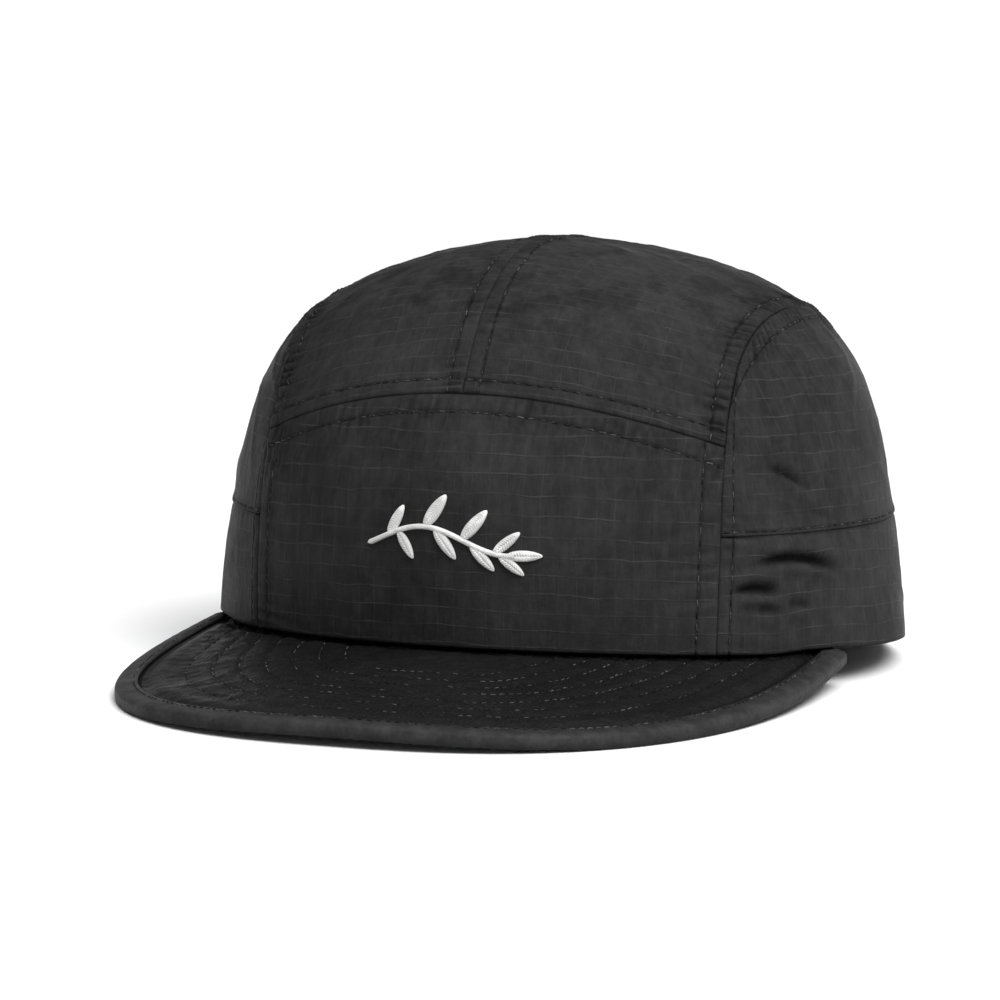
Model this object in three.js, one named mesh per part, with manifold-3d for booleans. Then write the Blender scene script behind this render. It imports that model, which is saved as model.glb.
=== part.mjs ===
// A soft five panel cap of dark ripstop nylon, standing by itself on its peak and its back hem.
// Millimetres, +Z up. The peak points along -Y. Left and right are the wearer's, so left is +X.
// The parts are worked out from the floor point under the middle of the crown, and the finished
// group is moved so that its origin is on the floor under the middle of the cap's length.

import * as THREE from 'three';
import { mergeVertices } from 'three/addons/utils/BufferGeometryUtils.js';
import Module from 'manifold-3d';

const wasm = await Module();
wasm.setup();

// Crown
const crownHalfWidth = 90;
const crownFront = 87;
const crownBack = 102;
const crownHeight = 107.4;
const shoulderPower = 3.55;
const cornerCut = 0.029;

// Walls and gaps
const clothWall = 1.4;
const bandWall = 1.5;
const strapWall = 1.5;
const seamGap = 0.3;
const seatGap = 0.3;

// Seams
const seamHalfWidth = 58.5;
const archHeight = 71;
const archDrop = 12;
const levelSeamHeight = 38;
const shoulderFrontSwing = 56;
const shoulderBackSwing = 128;

// Peak and its binding
const peakHalfWidth = 83.8;
const peakLength = 77;
const peakSetBack = 53.5;
const peakPower = 2.56;
const peakFall = 6.6;
const peakCamber = 8;
const plateWall = 2.2;
const plateEdge = 1;
const bindingWall = 1;
const bindingWidth = 5.3;
const peakEndTuck = 4;

// Hem
const hemClimb = 9;
const hemHold = 9;
const hemFade = 80;
const hemRestLength = 24;

// Sweatband, back opening, strap and its slider
const bandHeight = 26;
const openingHalfWidth = 36;
const openingHeight = 38;
const strapHeight = 18;
const strapLift = 4;
const strapTuck = 13;
const strapClearance = 0.6;
const buckleLength = 11;
const buckleWall = 1.5;
const buckleRim = 2.6;
const bucklePlace = 9;

// Embroidered sprig
const sprigWidth = 42;
const sprigHeight = 19;
const sprigMiddle = 37;
const sprigStem = 1.3;
const sprigRaise = 0.9;

// Profile of the crown against the plain rounded one, by the angle of rise from the floor point
const profileRows = [
  { at: 0, side: 1, front: 1, back: 1 },
  { at: 15, side: 0.98, front: 1.025, back: 1.03 },
  { at: 30, side: 0.95, front: 1.03, back: 1.05 },
  { at: 45, side: 0.945, front: 0.985, back: 1.05 },
  { at: 60, side: 0.94, front: 0.975, back: 1 },
  { at: 75, side: 0.97, front: 0.995, back: 0.99 },
  { at: 90, side: 1, front: 1, back: 1 },
];

// Width between the long seams, by the swing from the front hem (0) over the top (90) to the back
const seamRows = [
  { at: 0, width: 1 },
  { at: 30, width: 1.005 },
  { at: 60, width: 0.99 },
  { at: 90, width: 1.04 },
  { at: 120, width: 1.01 },
  { at: 150, width: 0.93 },
  { at: 180, width: 0.8 },
];

// Folds and dents of the slack cloth: where their middle is, how they slant, how far they reach
// along and across, and how high they stand (below 0 for a dent). The last three are shares of
// the crown's half width.
const foldRows = [
  { turn: -36, rise: 22.6, slant: 4, reach: 0.1, breadth: 0.034, height: 0.012 },
  { turn: -24, rise: 21, slant: -20, reach: 0.09, breadth: 0.034, height: 0.01 },
  { turn: -39, rise: 17.8, slant: -4, reach: 0.07, breadth: 0.032, height: 0.01 },
  { turn: -31.5, rise: 34, slant: 12, reach: 0.05, breadth: 0.034, height: 0.008 },
  { turn: -8, rise: 74, slant: 24, reach: 0.16, breadth: 0.05, height: -0.01 },
  { turn: -40, rise: 68, slant: 10, reach: 0.13, breadth: 0.05, height: -0.009 },
  { turn: -130, rise: 62, slant: -16, reach: 0.16, breadth: 0.05, height: -0.008 },
  { turn: -165, rise: 29, slant: 12, reach: 0.12, breadth: 0.05, height: 0.008 },
];

// Leaves of the sprig: where they leave the stem, how they lean, and their length and width
const leafRows = [
  { along: 0.14, lean: 62, length: 0.19, width: 0.34 },
  { along: 0.2, lean: -58, length: 0.18, width: 0.34 },
  { along: 0.36, lean: 56, length: 0.22, width: 0.36 },
  { along: 0.42, lean: -52, length: 0.21, width: 0.34 },
  { along: 0.58, lean: 50, length: 0.22, width: 0.34 },
  { along: 0.63, lean: -46, length: 0.2, width: 0.32 },
  { along: 0.76, lean: 40, length: 0.19, width: 0.32 },
  { along: 0.79, lean: -38, length: 0.18, width: 0.32 },
  { along: 0.83, lean: 1, length: 0.2, width: 0.32 },
];

const nylon = { color: 0x2b2b2c, roughness: 0.55, metalness: 0 };
const peakNylon = { color: 0x242425, roughness: 0.6, metalness: 0 };
const bindingTape = { color: 0x38383a, roughness: 0.5, metalness: 0 };
const bandCotton = { color: 0x161617, roughness: 0.85, metalness: 0 };
const webbing = { color: 0x1c1c1d, roughness: 0.75, metalness: 0 };
const blackPlastic = { color: 0x111112, roughness: 0.4, metalness: 0 };
const whiteThread = { color: 0xe8e8e6, roughness: 0.45, metalness: 0 };

const radians = THREE.MathUtils.degToRad;
const degrees = THREE.MathUtils.radToDeg;
const mix = THREE.MathUtils.lerp;
const ease = THREE.MathUtils.smoothstep;
const peakEndY = peakSetBack - crownFront;

// A smooth curve through evenly spaced rows, level at the first and the last row.
function readRows(rows, column, at) {
  const step = rows[1].at - rows[0].at;
  const last = rows.length - 1;
  const place = THREE.MathUtils.clamp((at - rows[0].at) / step, 0, last);
  const cell = Math.min(Math.floor(place), last - 1);
  const value = (row) => rows[last - Math.abs(last - Math.abs(row))][column];
  const before = (value(cell + 1) - value(cell - 1)) / 2;
  const after = (value(cell + 2) - value(cell)) / 2;
  const t = place - cell;
  const u = 1 - t;
  const fromNear = u * u * (1 + 2 * t) * value(cell);
  const fromFar = t * t * (1 + 2 * u) * value(cell + 1);
  return fromNear + fromFar + u * u * t * before - t * t * u * after;
}

// The place between low and high where a steadily changing measure passes zero.
function solve(measure, low, high) {
  const rises = measure(high) > measure(low);
  let near = low;
  let far = high;
  for (let step = 0; step < 36; step += 1) {
    const middle = (near + far) / 2;
    if (measure(middle) > 0 === rises) {
      far = middle;
    } else {
      near = middle;
    }
  }
  return (near + far) / 2;
}

function foldHeight(turn, rise) {
  let height = 0;
  for (const row of foldRows) {
    const along = Math.sin((turn - radians(row.turn)) / 2) * 2 * Math.cos(radians(row.rise));
    const up = rise - radians(row.rise);
    const lean = radians(row.slant);
    const reach = (along * Math.cos(lean) + up * Math.sin(lean)) / row.reach;
    const breadth = (up * Math.cos(lean) - along * Math.sin(lean)) / row.breadth;
    height += row.height * crownHalfWidth * Math.exp(-reach * reach - breadth * breadth);
  }
  return height;
}

// Distance of the smooth crown from the floor point: turn is the angle in plan from +X, and
// rise the angle up from the floor. Each upright profile is a rounded corner between its
// reach and the height, times its share, and an ellipse runs from one profile to the next.
function smoothRadius(turn, rise) {
  const profile = (reach, column) => {
    const out = (Math.cos(rise) / reach) ** shoulderPower;
    const up = (Math.sin(rise) / crownHeight) ** shoulderPower;
    return readRows(profileRows, column, degrees(rise)) * (out + up) ** (-1 / shoulderPower);
  };
  const side = profile(crownHalfWidth, 'side');
  const along = turn < 0 ? profile(crownFront, 'front') : profile(crownBack, 'back');
  const ellipse = 1 / Math.hypot(Math.cos(turn) / side, Math.sin(turn) / along);
  const cut = cornerCut * (Math.sin(2 * turn) * Math.cos(rise)) ** 2;
  return ellipse * (1 - cut);
}

function crownRadius(turn, rise) {
  return smoothRadius(turn, rise) + foldHeight(turn, rise);
}

function turnOf(point) {
  return Math.atan2(point.y, point.x);
}

function riseOf(point) {
  return Math.asin(Math.min(1, point.z / point.length()));
}

function heightOutside(point) {
  return point.length() - crownRadius(turnOf(point), Math.max(0, riseOf(point)));
}

function crownPoint(turn, rise, radiusAt = crownRadius) {
  const wrapped = Math.atan2(Math.sin(turn), Math.cos(turn));
  const radius = radiusAt(wrapped, rise);
  const flat = radius * Math.cos(rise);
  return new THREE.Vector3(flat * Math.cos(turn), flat * Math.sin(turn), radius * Math.sin(rise));
}

// A point under the crown's surface, by a depth along the surface's normal.
function sink(point, depth) {
  const nudge = 0.02;
  const slope = (x, y, z) => {
    const step = new THREE.Vector3(x, y, z).multiplyScalar(nudge);
    return heightOutside(point.clone().add(step)) - heightOutside(point.clone().sub(step));
  };
  const normal = new THREE.Vector3(slope(1, 0, 0), slope(0, 1, 0), slope(0, 0, 1)).normalize();
  return point.clone().addScaledVector(normal, -depth);
}

// A point of the crown by its share of the way from the middle to the long seam, and its swing:
// the angle about the crown's left-right line, from the front over the top to the back.
function gorePoint(share, swing) {
  const x = share * seamHalfWidth * readRows(seamRows, 'width', degrees(swing));
  const at = (reach) => new THREE.Vector3(x, -reach * Math.cos(swing), reach * Math.sin(swing));
  return at(solve((reach) => heightOutside(at(reach)), 1, crownHeight + crownBack));
}

// How far the peak's top lies below its root in the middle of the front.
function peakDrop(x, y) {
  return peakFall * (-crownFront - y) / peakLength + peakCamber * (x / peakHalfWidth) ** 2;
}

// The peak's outline in plan, from its left end (0) round the tip to its right end (pi).
function peakOutline(angle) {
  const across = Math.abs(Math.cos(angle) / peakHalfWidth) ** peakPower;
  const along = Math.abs(Math.sin(angle) / (peakSetBack + peakLength)) ** peakPower;
  const reach = (across + along) ** (-1 / peakPower);
  return new THREE.Vector2(reach * Math.cos(angle), peakEndY - reach * Math.sin(angle));
}

function peakInset(angle, inset) {
  const tangent = peakOutline(angle + 0.001).sub(peakOutline(angle - 0.001)).normalize();
  const inward = new THREE.Vector2(tangent.y, -tangent.x);
  return peakOutline(angle).addScaledVector(inward, inset);
}

const edgeHalf = plateEdge / 2 + seatGap + bindingWall;
const edgeRound = bindingWall / 2;
const peakSteps = 44;
const edgeDrops = Array.from({ length: peakSteps + 1 }, (unused, step) => {
  const edge = peakInset(Math.PI * step / peakSteps, bindingWall + edgeRound);
  return peakDrop(edge.x, edge.y);
});
const hemLift = Math.max(...edgeDrops) + plateWall / 2 + edgeHalf;

function peakTop(x, y) {
  return hemLift - peakDrop(x, y);
}

// The hem lies on the peak, climbs over the binding's ends and runs down to the floor behind.
function hemHeight(x, y) {
  const overBinding = edgeHalf - plateWall / 2;
  const onPeak = (nearY) => {
    const climb = ease(nearY, peakEndY - hemHold - hemClimb, peakEndY - hemHold);
    return peakTop(x, nearY) + seatGap + overBinding * climb;
  };
  if (y <= peakEndY) {
    return onPeak(y);
  }
  const restY = crownBack - hemRestLength;
  const plain = Math.max(0, hemLift * (restY - y) / (crownFront + restY));
  return mix(onPeak(peakEndY), plain, ease(y, peakEndY + hemHold, peakEndY + hemHold + hemFade));
}

function openingEdge(x, y) {
  return hemHeight(x, y) + openingHeight * Math.max(0, 1 - (x / openingHalfWidth) ** 2);
}

function seamArch(share) {
  return archHeight - archDrop * share * share;
}

// The swing at which the crown crosses a height that may change with x and y.
function goreSwing(share, low, high, height) {
  const over = (swing) => {
    const point = gorePoint(share, swing);
    return point.z - height(point.x, point.y);
  };
  return solve(over, radians(low), radians(high));
}

// The rise at which the crown crosses a height, straight up at one turn.
function riseWhere(turn, height) {
  const over = (rise) => {
    const point = crownPoint(turn, rise);
    return point.z - height(point.x, point.y);
  };
  return solve(over, 0, radians(60));
}

function grid(stepsAcross, stepsUp, column) {
  return Array.from({ length: stepsAcross + 1 }, (unused, i) => {
    const place = column(i / stepsAcross);
    return Array.from({ length: stepsUp + 1 }, (none, j) => place(j / stepsUp));
  });
}

function toMesh(name, geometry, look) {
  const mesh = new THREE.Mesh(geometry, new THREE.MeshStandardMaterial(look));
  mesh.name = name;
  return mesh;
}

// Builds the triangles of points and faces, turned so that the solid's faces point out.
function toGeometry(points, faces) {
  let volume = 0;
  for (const [a, b, c] of faces) {
    volume += points[a].dot(points[b].clone().cross(points[c]));
  }
  const index = faces.flatMap(([a, b, c]) => (volume > 0 ? [a, b, c] : [a, c, b]));
  const geometry = new THREE.BufferGeometry();
  geometry.setAttribute('position', new THREE.Float32BufferAttribute(points.flatMap((p) => p.toArray()), 3));
  geometry.setIndex(index);
  geometry.computeVertexNormals();
  return geometry;
}

// A closed wall between two grids of points of the same size.
function sheetBetween(front, back) {
  const across = front.length - 1;
  const up = front[0].length - 1;
  const count = (across + 1) * (up + 1);
  const id = (face, i, j) => face * count + i * (up + 1) + j;
  const faces = [];
  const quad = (a, b, c, d) => faces.push([a, b, c], [a, c, d]);
  for (let i = 0; i < across; i += 1) {
    for (let j = 0; j < up; j += 1) {
      quad(id(0, i, j), id(0, i + 1, j), id(0, i + 1, j + 1), id(0, i, j + 1));
      quad(id(1, i, j), id(1, i, j + 1), id(1, i + 1, j + 1), id(1, i + 1, j));
    }
    quad(id(0, i, 0), id(1, i, 0), id(1, i + 1, 0), id(0, i + 1, 0));
    quad(id(0, i, up), id(0, i + 1, up), id(1, i + 1, up), id(1, i, up));
  }
  for (let j = 0; j < up; j += 1) {
    quad(id(0, 0, j), id(0, 0, j + 1), id(1, 0, j + 1), id(1, 0, j));
    quad(id(0, across, j), id(1, across, j), id(1, across, j + 1), id(0, across, j + 1));
  }
  return toGeometry([...front.flat(), ...back.flat()], faces);
}

// A wall of cloth that follows the crown, from one depth under its surface to another.
// Where a foot or a head height is given, the lowest or the highest edge is cut off there.
function crownSheet(points, outerDepth, innerDepth, { foot, head } = {}) {
  const cut = (depth) => points.map((column) => {
    const sunk = column.map((point) => sink(point, depth));
    const trim = (point, height) => point.setZ(height(point.x, point.y));
    if (foot) {
      trim(sunk[0], foot);
    }
    if (head) {
      trim(sunk[sunk.length - 1], head);
    }
    return sunk;
  });
  return sheetBetween(cut(outerDepth), cut(innerDepth));
}

const gapShare = seamGap / 2 / seamHalfWidth;
const gapSwing = seamGap / 2 / crownHeight;

function archSwing(share) {
  return goreSwing(share, 10, 80, () => seamArch(share));
}

function frontPanel() {
  const points = grid(24, 14, (u) => {
    const share = mix(gapShare - 1, 1 - gapShare, u);
    const low = goreSwing(share, 0, 45, hemHeight);
    const high = archSwing(share) - gapSwing;
    return (v) => gorePoint(share, mix(low, high, v));
  });
  return toMesh('front_panel', crownSheet(points, 0, clothWall, { foot: hemHeight }), nylon);
}

function topPanel(name, side) {
  const points = grid(10, 26, (u) => {
    const share = side * mix(gapShare, 1 - gapShare, u);
    const low = archSwing(share) + gapSwing;
    const high = goreSwing(share, 120, 180, openingEdge);
    return (v) => gorePoint(share, mix(low, high, v));
  });
  return toMesh(name, crownSheet(points, 0, clothWall, { head: openingEdge }), nylon);
}

// A side's own turn is 0 straight out to that side, and below 0 towards the front.
function sideAngles(side, point) {
  return new THREE.Vector2(Math.atan2(point.y, side * point.x), riseOf(point));
}

function sidePoint(side, angles) {
  return crownPoint(side > 0 ? angles.x : Math.PI - angles.x, angles.y);
}

// Fills a four-sided patch of the crown between its bottom, top, front and back borders.
function patch(side, stepsAcross, stepsUp, bottom, top, front, back) {
  const corner = (u, v) => (v === 0 ? bottom(u) : top(u));
  return grid(stepsAcross, stepsUp, (u) => (v) => {
    const angles = new THREE.Vector2();
    angles.addScaledVector(bottom(u), 1 - v);
    angles.addScaledVector(top(u), v);
    angles.addScaledVector(front(v), 1 - u);
    angles.addScaledVector(back(v), u);
    angles.addScaledVector(corner(0, 0), -(1 - u) * (1 - v));
    angles.addScaledVector(corner(1, 0), -u * (1 - v));
    angles.addScaledVector(corner(0, 1), -(1 - u) * v);
    angles.addScaledVector(corner(1, 1), -u * v);
    return sidePoint(side, angles);
  });
}

// Keeps the results of a function of one share, which the patches ask for again and again.
function remember(work) {
  const known = new Map();
  return (share) => {
    if (!known.has(share)) {
      known.set(share, work(share));
    }
    return known.get(share);
  };
}

function sidePanels(sideName, side) {
  const share = side * (1 + gapShare);
  const seam = (swing) => sideAngles(side, gorePoint(share, swing));
  const under = () => levelSeamHeight - seamGap / 2;
  const over = () => levelSeamHeight + seamGap / 2;
  const hem = { front: goreSwing(share, 0, 40, hemHeight), back: goreSwing(share, 140, 180, hemHeight) };
  const low = { front: goreSwing(share, 0, 60, under), back: goreSwing(share, 120, 180, under) };
  const high = { front: goreSwing(share, 0, 60, over), back: goreSwing(share, 120, 180, over) };
  const shoulder = { front: radians(shoulderFrontSwing), back: radians(shoulderBackSwing) };
  const level = (ends, height) => remember((u) => {
    const turn = mix(seam(ends.front).x, seam(ends.back).x, u);
    const plan = side > 0 ? turn : Math.PI - turn;
    return new THREE.Vector2(turn, riseWhere(plan, height));
  });
  const along = (from, to) => remember((v) => seam(mix(from, to, v)));
  const lower = patch(
    side, 24, 6,
    level(hem, hemHeight),
    level(low, under),
    along(hem.front, low.front),
    along(hem.back, low.back),
  );
  const upper = patch(
    side, 20, 10,
    level(high, over),
    along(shoulder.front, shoulder.back),
    along(high.front, shoulder.front),
    along(high.back, shoulder.back),
  );
  const lowerSheet = crownSheet(lower, 0, clothWall, { foot: hemHeight, head: under });
  const upperSheet = crownSheet(upper, 0, clothWall, { foot: over });
  return [
    toMesh(`side_panel_${sideName}_lower`, lowerSheet, nylon),
    toMesh(`side_panel_${sideName}_upper`, upperSheet, nylon),
  ];
}

// The hem's line on the crown at one turn in plan.
function hemPoint(turn) {
  return crownPoint(turn, riseWhere(turn, hemHeight));
}

// The stiff plate of the peak. It runs in under the hem and thins where the binding grips it.
function peak() {
  const endTurn = solve((turn) => hemPoint(turn).y - peakEndY, radians(-60), 0);
  const tuck = clothWall + seatGap + bandWall;
  const gripIn = bindingWidth + seatGap;
  const gripOut = bindingWall + seatGap;
  const shares = [0, 0.16, 0.32, 0.48, 0.64, 0.82, 1];
  const stations = [
    ...shares.map((share) => ({ share, inset: gripIn + seatGap, wall: plateWall })),
    { share: 1, inset: gripIn, wall: plateEdge },
    { share: 1, inset: gripOut, wall: plateEdge },
  ];
  const column = (angle) => {
    const end = Math.abs(Math.cos(angle)) ** 6;
    const root = sink(hemPoint(mix(endTurn, -Math.PI - endTurn, angle / Math.PI)), tuck + peakEndTuck * end);
    return stations.map(({ share, inset, wall }) => {
      const place = new THREE.Vector2(root.x, root.y).lerp(peakInset(angle, inset), share);
      const middle = peakTop(place.x, place.y) - plateWall / 2;
      return [wall / 2, -wall / 2].map((lift) => new THREE.Vector3(place.x, place.y, middle + lift));
    });
  };
  const columns = Array.from({ length: peakSteps + 1 }, (unused, i) => column(Math.PI * i / peakSteps));
  const top = columns.map((stationsUp) => stationsUp.map(([upper]) => upper));
  const bottom = columns.map((stationsUp) => stationsUp.map(([, lower]) => lower));
  return toMesh('peak', sheetBetween(top, bottom), peakNylon);
}

// The tape folded round the peak's edge: its section gives each corner's way in from the edge
// and its height above the plate's middle.
function peakBinding() {
  const inner = plateEdge / 2 + seatGap;
  const section = [
    { inset: bindingWidth, lift: inner },
    { inset: bindingWidth, lift: edgeHalf - edgeRound },
    { inset: bindingWidth - edgeRound, lift: edgeHalf },
    { inset: bindingWall + edgeRound, lift: edgeHalf },
    { inset: edgeRound * 0.6, lift: edgeHalf * 0.65 },
    { inset: 0, lift: 0 },
    { inset: edgeRound * 0.6, lift: -edgeHalf * 0.65 },
    { inset: bindingWall + edgeRound, lift: -edgeHalf },
    { inset: bindingWidth - edgeRound, lift: -edgeHalf },
    { inset: bindingWidth, lift: edgeRound - edgeHalf },
    { inset: bindingWidth, lift: -inner },
    { inset: bindingWall, lift: -inner },
    { inset: bindingWall, lift: inner },
  ];
  const points = [];
  for (let i = 0; i <= peakSteps; i += 1) {
    for (const { inset, lift } of section) {
      const place = peakInset(Math.PI * i / peakSteps, inset);
      points.push(new THREE.Vector3(place.x, place.y, peakTop(place.x, place.y) - plateWall / 2 + lift));
    }
  }
  const sides = section.length;
  const faces = [];
  for (let i = 0; i < peakSteps; i += 1) {
    for (let k = 0; k < sides; k += 1) {
      const next = (k + 1) % sides;
      const [a, b] = [i * sides + k, i * sides + next];
      faces.push([a, b, b + sides], [a, b + sides, a + sides]);
    }
  }
  const outline = section.map(({ inset, lift }) => new THREE.Vector2(inset, lift));
  const turnsLeft = THREE.ShapeUtils.area(outline) > 0;
  for (const [a, b, c] of THREE.ShapeUtils.triangulateShape(outline, [])) {
    const [p, q] = turnsLeft ? [b, c] : [c, b];
    const last = peakSteps * sides;
    faces.push([a, q, p], [a + last, p + last, q + last]);
  }
  return toMesh('peak_binding', toGeometry(points, faces), bindingTape);
}

function backAngle(x) {
  return Math.asin(x / crownBack);
}

// The band lies smooth inside the slack cloth.
function sweatband() {
  const start = Math.PI / 2 + backAngle(openingHalfWidth + strapTuck + 1);
  const end = Math.PI * 2.5 - backAngle(openingHalfWidth + strapTuck + 1);
  const bandTop = (x, y) => hemHeight(x, y) + bandHeight;
  const points = grid(52, 3, (u) => {
    const turn = mix(start, end, u);
    const low = riseWhere(turn, hemHeight);
    const high = riseWhere(turn, bandTop);
    return (v) => crownPoint(turn, mix(low, high, v), smoothRadius);
  });
  const outerDepth = clothWall + seatGap;
  const wall = crownSheet(points, outerDepth, outerDepth + bandWall, { foot: hemHeight, head: bandTop });
  return toMesh('sweatband', wall, bandCotton);
}

// The strap crosses the back opening close under the crown's cloth, and its ends lie inside.
function backStrap() {
  const half = backAngle(openingHalfWidth + strapTuck);
  const foot = () => strapLift;
  const head = () => strapLift + strapHeight;
  const points = grid(22, 1, (u) => {
    const turn = mix(Math.PI / 2 - half, Math.PI / 2 + half, u);
    return (v) => crownPoint(turn, mix(riseWhere(turn, foot), riseWhere(turn, head), v));
  });
  const outerDepth = clothWall + seatGap;
  const wall = crownSheet(points, outerDepth, outerDepth + strapWall, { foot, head });
  return toMesh('back_strap', wall, webbing);
}

// The slider is a flat ring that the strap passes through, square to the crown there.
function strapBuckle() {
  const turn = Math.PI / 2 - backAngle(bucklePlace);
  const depth = clothWall + seatGap + strapWall / 2;
  const low = sink(crownPoint(turn, riseWhere(turn, () => strapLift)), depth);
  const high = sink(crownPoint(turn, riseWhere(turn, () => strapLift + strapHeight)), depth);
  const box = (halfThick, halfHigh) => [
    new THREE.Vector2(-halfThick, -halfHigh),
    new THREE.Vector2(halfThick, -halfHigh),
    new THREE.Vector2(halfThick, halfHigh),
    new THREE.Vector2(-halfThick, halfHigh),
  ];
  const slotThick = strapWall / 2 + strapClearance;
  const slotHigh = low.distanceTo(high) / 2 + strapClearance;
  const shape = new THREE.Shape(box(slotThick + buckleWall, slotHigh + buckleRim));
  shape.holes.push(new THREE.Path(box(slotThick, slotHigh)));
  const geometry = new THREE.ExtrudeGeometry(shape, { depth: buckleLength, bevelEnabled: false });
  geometry.translate(0, 0, -buckleLength / 2);
  const mesh = toMesh('strap_buckle', geometry, blackPlastic);
  const up = high.clone().sub(low).normalize();
  const across = crownPoint(turn + 0.02, riseOf(low)).sub(crownPoint(turn - 0.02, riseOf(low))).normalize();
  const out = up.clone().cross(across).normalize();
  mesh.position.copy(low.add(high).multiplyScalar(0.5));
  mesh.setRotationFromMatrix(new THREE.Matrix4().makeBasis(out, up, out.clone().cross(up)));
  return mesh;
}

function toSolid(geometry) {
  geometry.deleteAttribute('normal');
  geometry.deleteAttribute('uv');
  const merged = mergeVertices(geometry);
  const vertProperties = new Float32Array(merged.attributes.position.array);
  const triVerts = new Uint32Array(merged.index.array);
  return new wasm.Manifold(new wasm.Mesh({ numProp: 3, vertProperties, triVerts }));
}

// One pointed leaf from its root, leaning from the stem's direction.
function leafShape(root, lean, length, halfWidth) {
  const along = new THREE.Vector2(Math.cos(lean), Math.sin(lean));
  const across = new THREE.Vector2(-along.y, along.x);
  const at = (share, out) => {
    return root.clone().addScaledVector(along, share * length).addScaledVector(across, out * halfWidth);
  };
  const tip = at(1, 0);
  const shape = new THREE.Shape();
  shape.moveTo(root.x, root.y);
  shape.bezierCurveTo(...at(0.25, 1.35).toArray(), ...at(0.7, 1.25).toArray(), tip.x, tip.y);
  shape.bezierCurveTo(...at(0.7, -1.25).toArray(), ...at(0.25, -1.35).toArray(), root.x, root.y);
  return shape;
}

function stemPoint(share) {
  const wave = Math.sin(Math.PI * 2 * (share - 0.1));
  return new THREE.Vector2(sprigWidth * (share - 0.5), sprigHeight * 0.16 * wave);
}

// A generic leafy sprig, worked in one raised layer on the front panel.
function embroideredMotif() {
  const flat = { depth: sprigRaise, bevelEnabled: false, curveSegments: 7 };
  const upperEdge = [];
  const lowerEdge = [];
  for (let step = 0; step <= 14; step += 1) {
    const share = mix(0.01, 0.88, step / 14);
    const place = stemPoint(share);
    const tangent = stemPoint(share + 0.01).sub(stemPoint(share - 0.01)).normalize();
    const side = new THREE.Vector2(-tangent.y, tangent.x).multiplyScalar(sprigStem / 2);
    upperEdge.push(place.clone().add(side));
    lowerEdge.unshift(place.clone().sub(side));
  }
  const stem = new THREE.Shape([...lowerEdge.reverse(), ...upperEdge.reverse()]);
  let solid = toSolid(new THREE.ExtrudeGeometry(stem, flat));
  for (const { along, lean, length, width } of leafRows) {
    const leafLength = length * sprigWidth;
    const shape = leafShape(stemPoint(along), radians(lean), leafLength, leafLength * width / 2);
    solid = solid.add(toSolid(new THREE.ExtrudeGeometry(shape, flat)));
  }
  const joined = solid.getMesh();
  const points = [];
  for (let i = 0; i < joined.vertProperties.length; i += joined.numProp) {
    const [x, up, raise] = joined.vertProperties.slice(i, i + 3);
    const turn = solve((angle) => {
      return crownPoint(angle, riseWhere(angle, () => sprigMiddle + up)).x - x;
    }, radians(-150), radians(-30));
    const foot = crownPoint(turn, riseWhere(turn, () => sprigMiddle + up));
    points.push(sink(foot, -seatGap - raise));
  }
  const faces = [];
  for (let i = 0; i < joined.triVerts.length; i += 3) {
    faces.push([...joined.triVerts.slice(i, i + 3)]);
  }
  return toMesh('embroidered_motif', toGeometry(points, faces), whiteThread);
}

const cap = new THREE.Group();
cap.add(frontPanel());
cap.add(topPanel('top_panel_left', 1), topPanel('top_panel_right', -1));
cap.add(...sidePanels('left', 1), ...sidePanels('right', -1));
cap.add(peak(), peakBinding());
cap.add(sweatband(), backStrap(), strapBuckle());
cap.add(embroideredMotif());

const box = new THREE.Box3().setFromObject(cap);
cap.position.set(0, -(box.min.y + box.max.y) / 2, -box.min.z);
cap.updateMatrixWorld(true);

export default cap;
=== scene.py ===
"""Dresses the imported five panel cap: crinkled ripstop cloth, sewn seams, a stitched peak with a rolled
binding, the band and closure inside, and a satin-stitched sprig, on a pale studio floor.

Shapes are worked out in millimetres from the floor point under the middle of the crown, as in the
part's source, with the peak along -Y and the wearer's left at +X. put_mesh moves them into the
row frame, in metres."""

import functools
import math
from typing import NamedTuple

import bpy
import numpy as np
from bpy.props import FloatProperty, FloatVectorProperty, IntProperty, PointerProperty
from mathutils import Matrix, Vector


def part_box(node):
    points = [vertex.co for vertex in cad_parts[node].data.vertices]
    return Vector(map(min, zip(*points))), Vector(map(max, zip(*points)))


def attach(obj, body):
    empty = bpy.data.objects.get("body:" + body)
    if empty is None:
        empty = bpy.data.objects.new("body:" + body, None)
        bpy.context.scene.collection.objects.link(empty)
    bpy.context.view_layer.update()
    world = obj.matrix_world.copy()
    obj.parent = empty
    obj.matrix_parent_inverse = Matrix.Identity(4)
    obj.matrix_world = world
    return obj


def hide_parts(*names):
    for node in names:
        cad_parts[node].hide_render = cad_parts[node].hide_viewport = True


bl_info = {
    "name": "Five panel cap",
    "version": (1, 0, 0),
    "blender": (4, 5, 0),
    "location": "View3D > Sidebar > Cap",
    "description": "Makes the cloth, stitching, peak and studio of a five panel cap",
    "category": "Add Mesh",
}

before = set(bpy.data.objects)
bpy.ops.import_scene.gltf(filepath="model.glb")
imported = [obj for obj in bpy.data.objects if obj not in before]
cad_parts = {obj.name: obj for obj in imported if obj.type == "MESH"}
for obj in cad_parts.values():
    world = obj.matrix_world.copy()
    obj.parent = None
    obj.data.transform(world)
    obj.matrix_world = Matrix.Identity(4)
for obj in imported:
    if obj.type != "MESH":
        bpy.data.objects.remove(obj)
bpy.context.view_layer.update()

MM = 0.001

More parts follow.
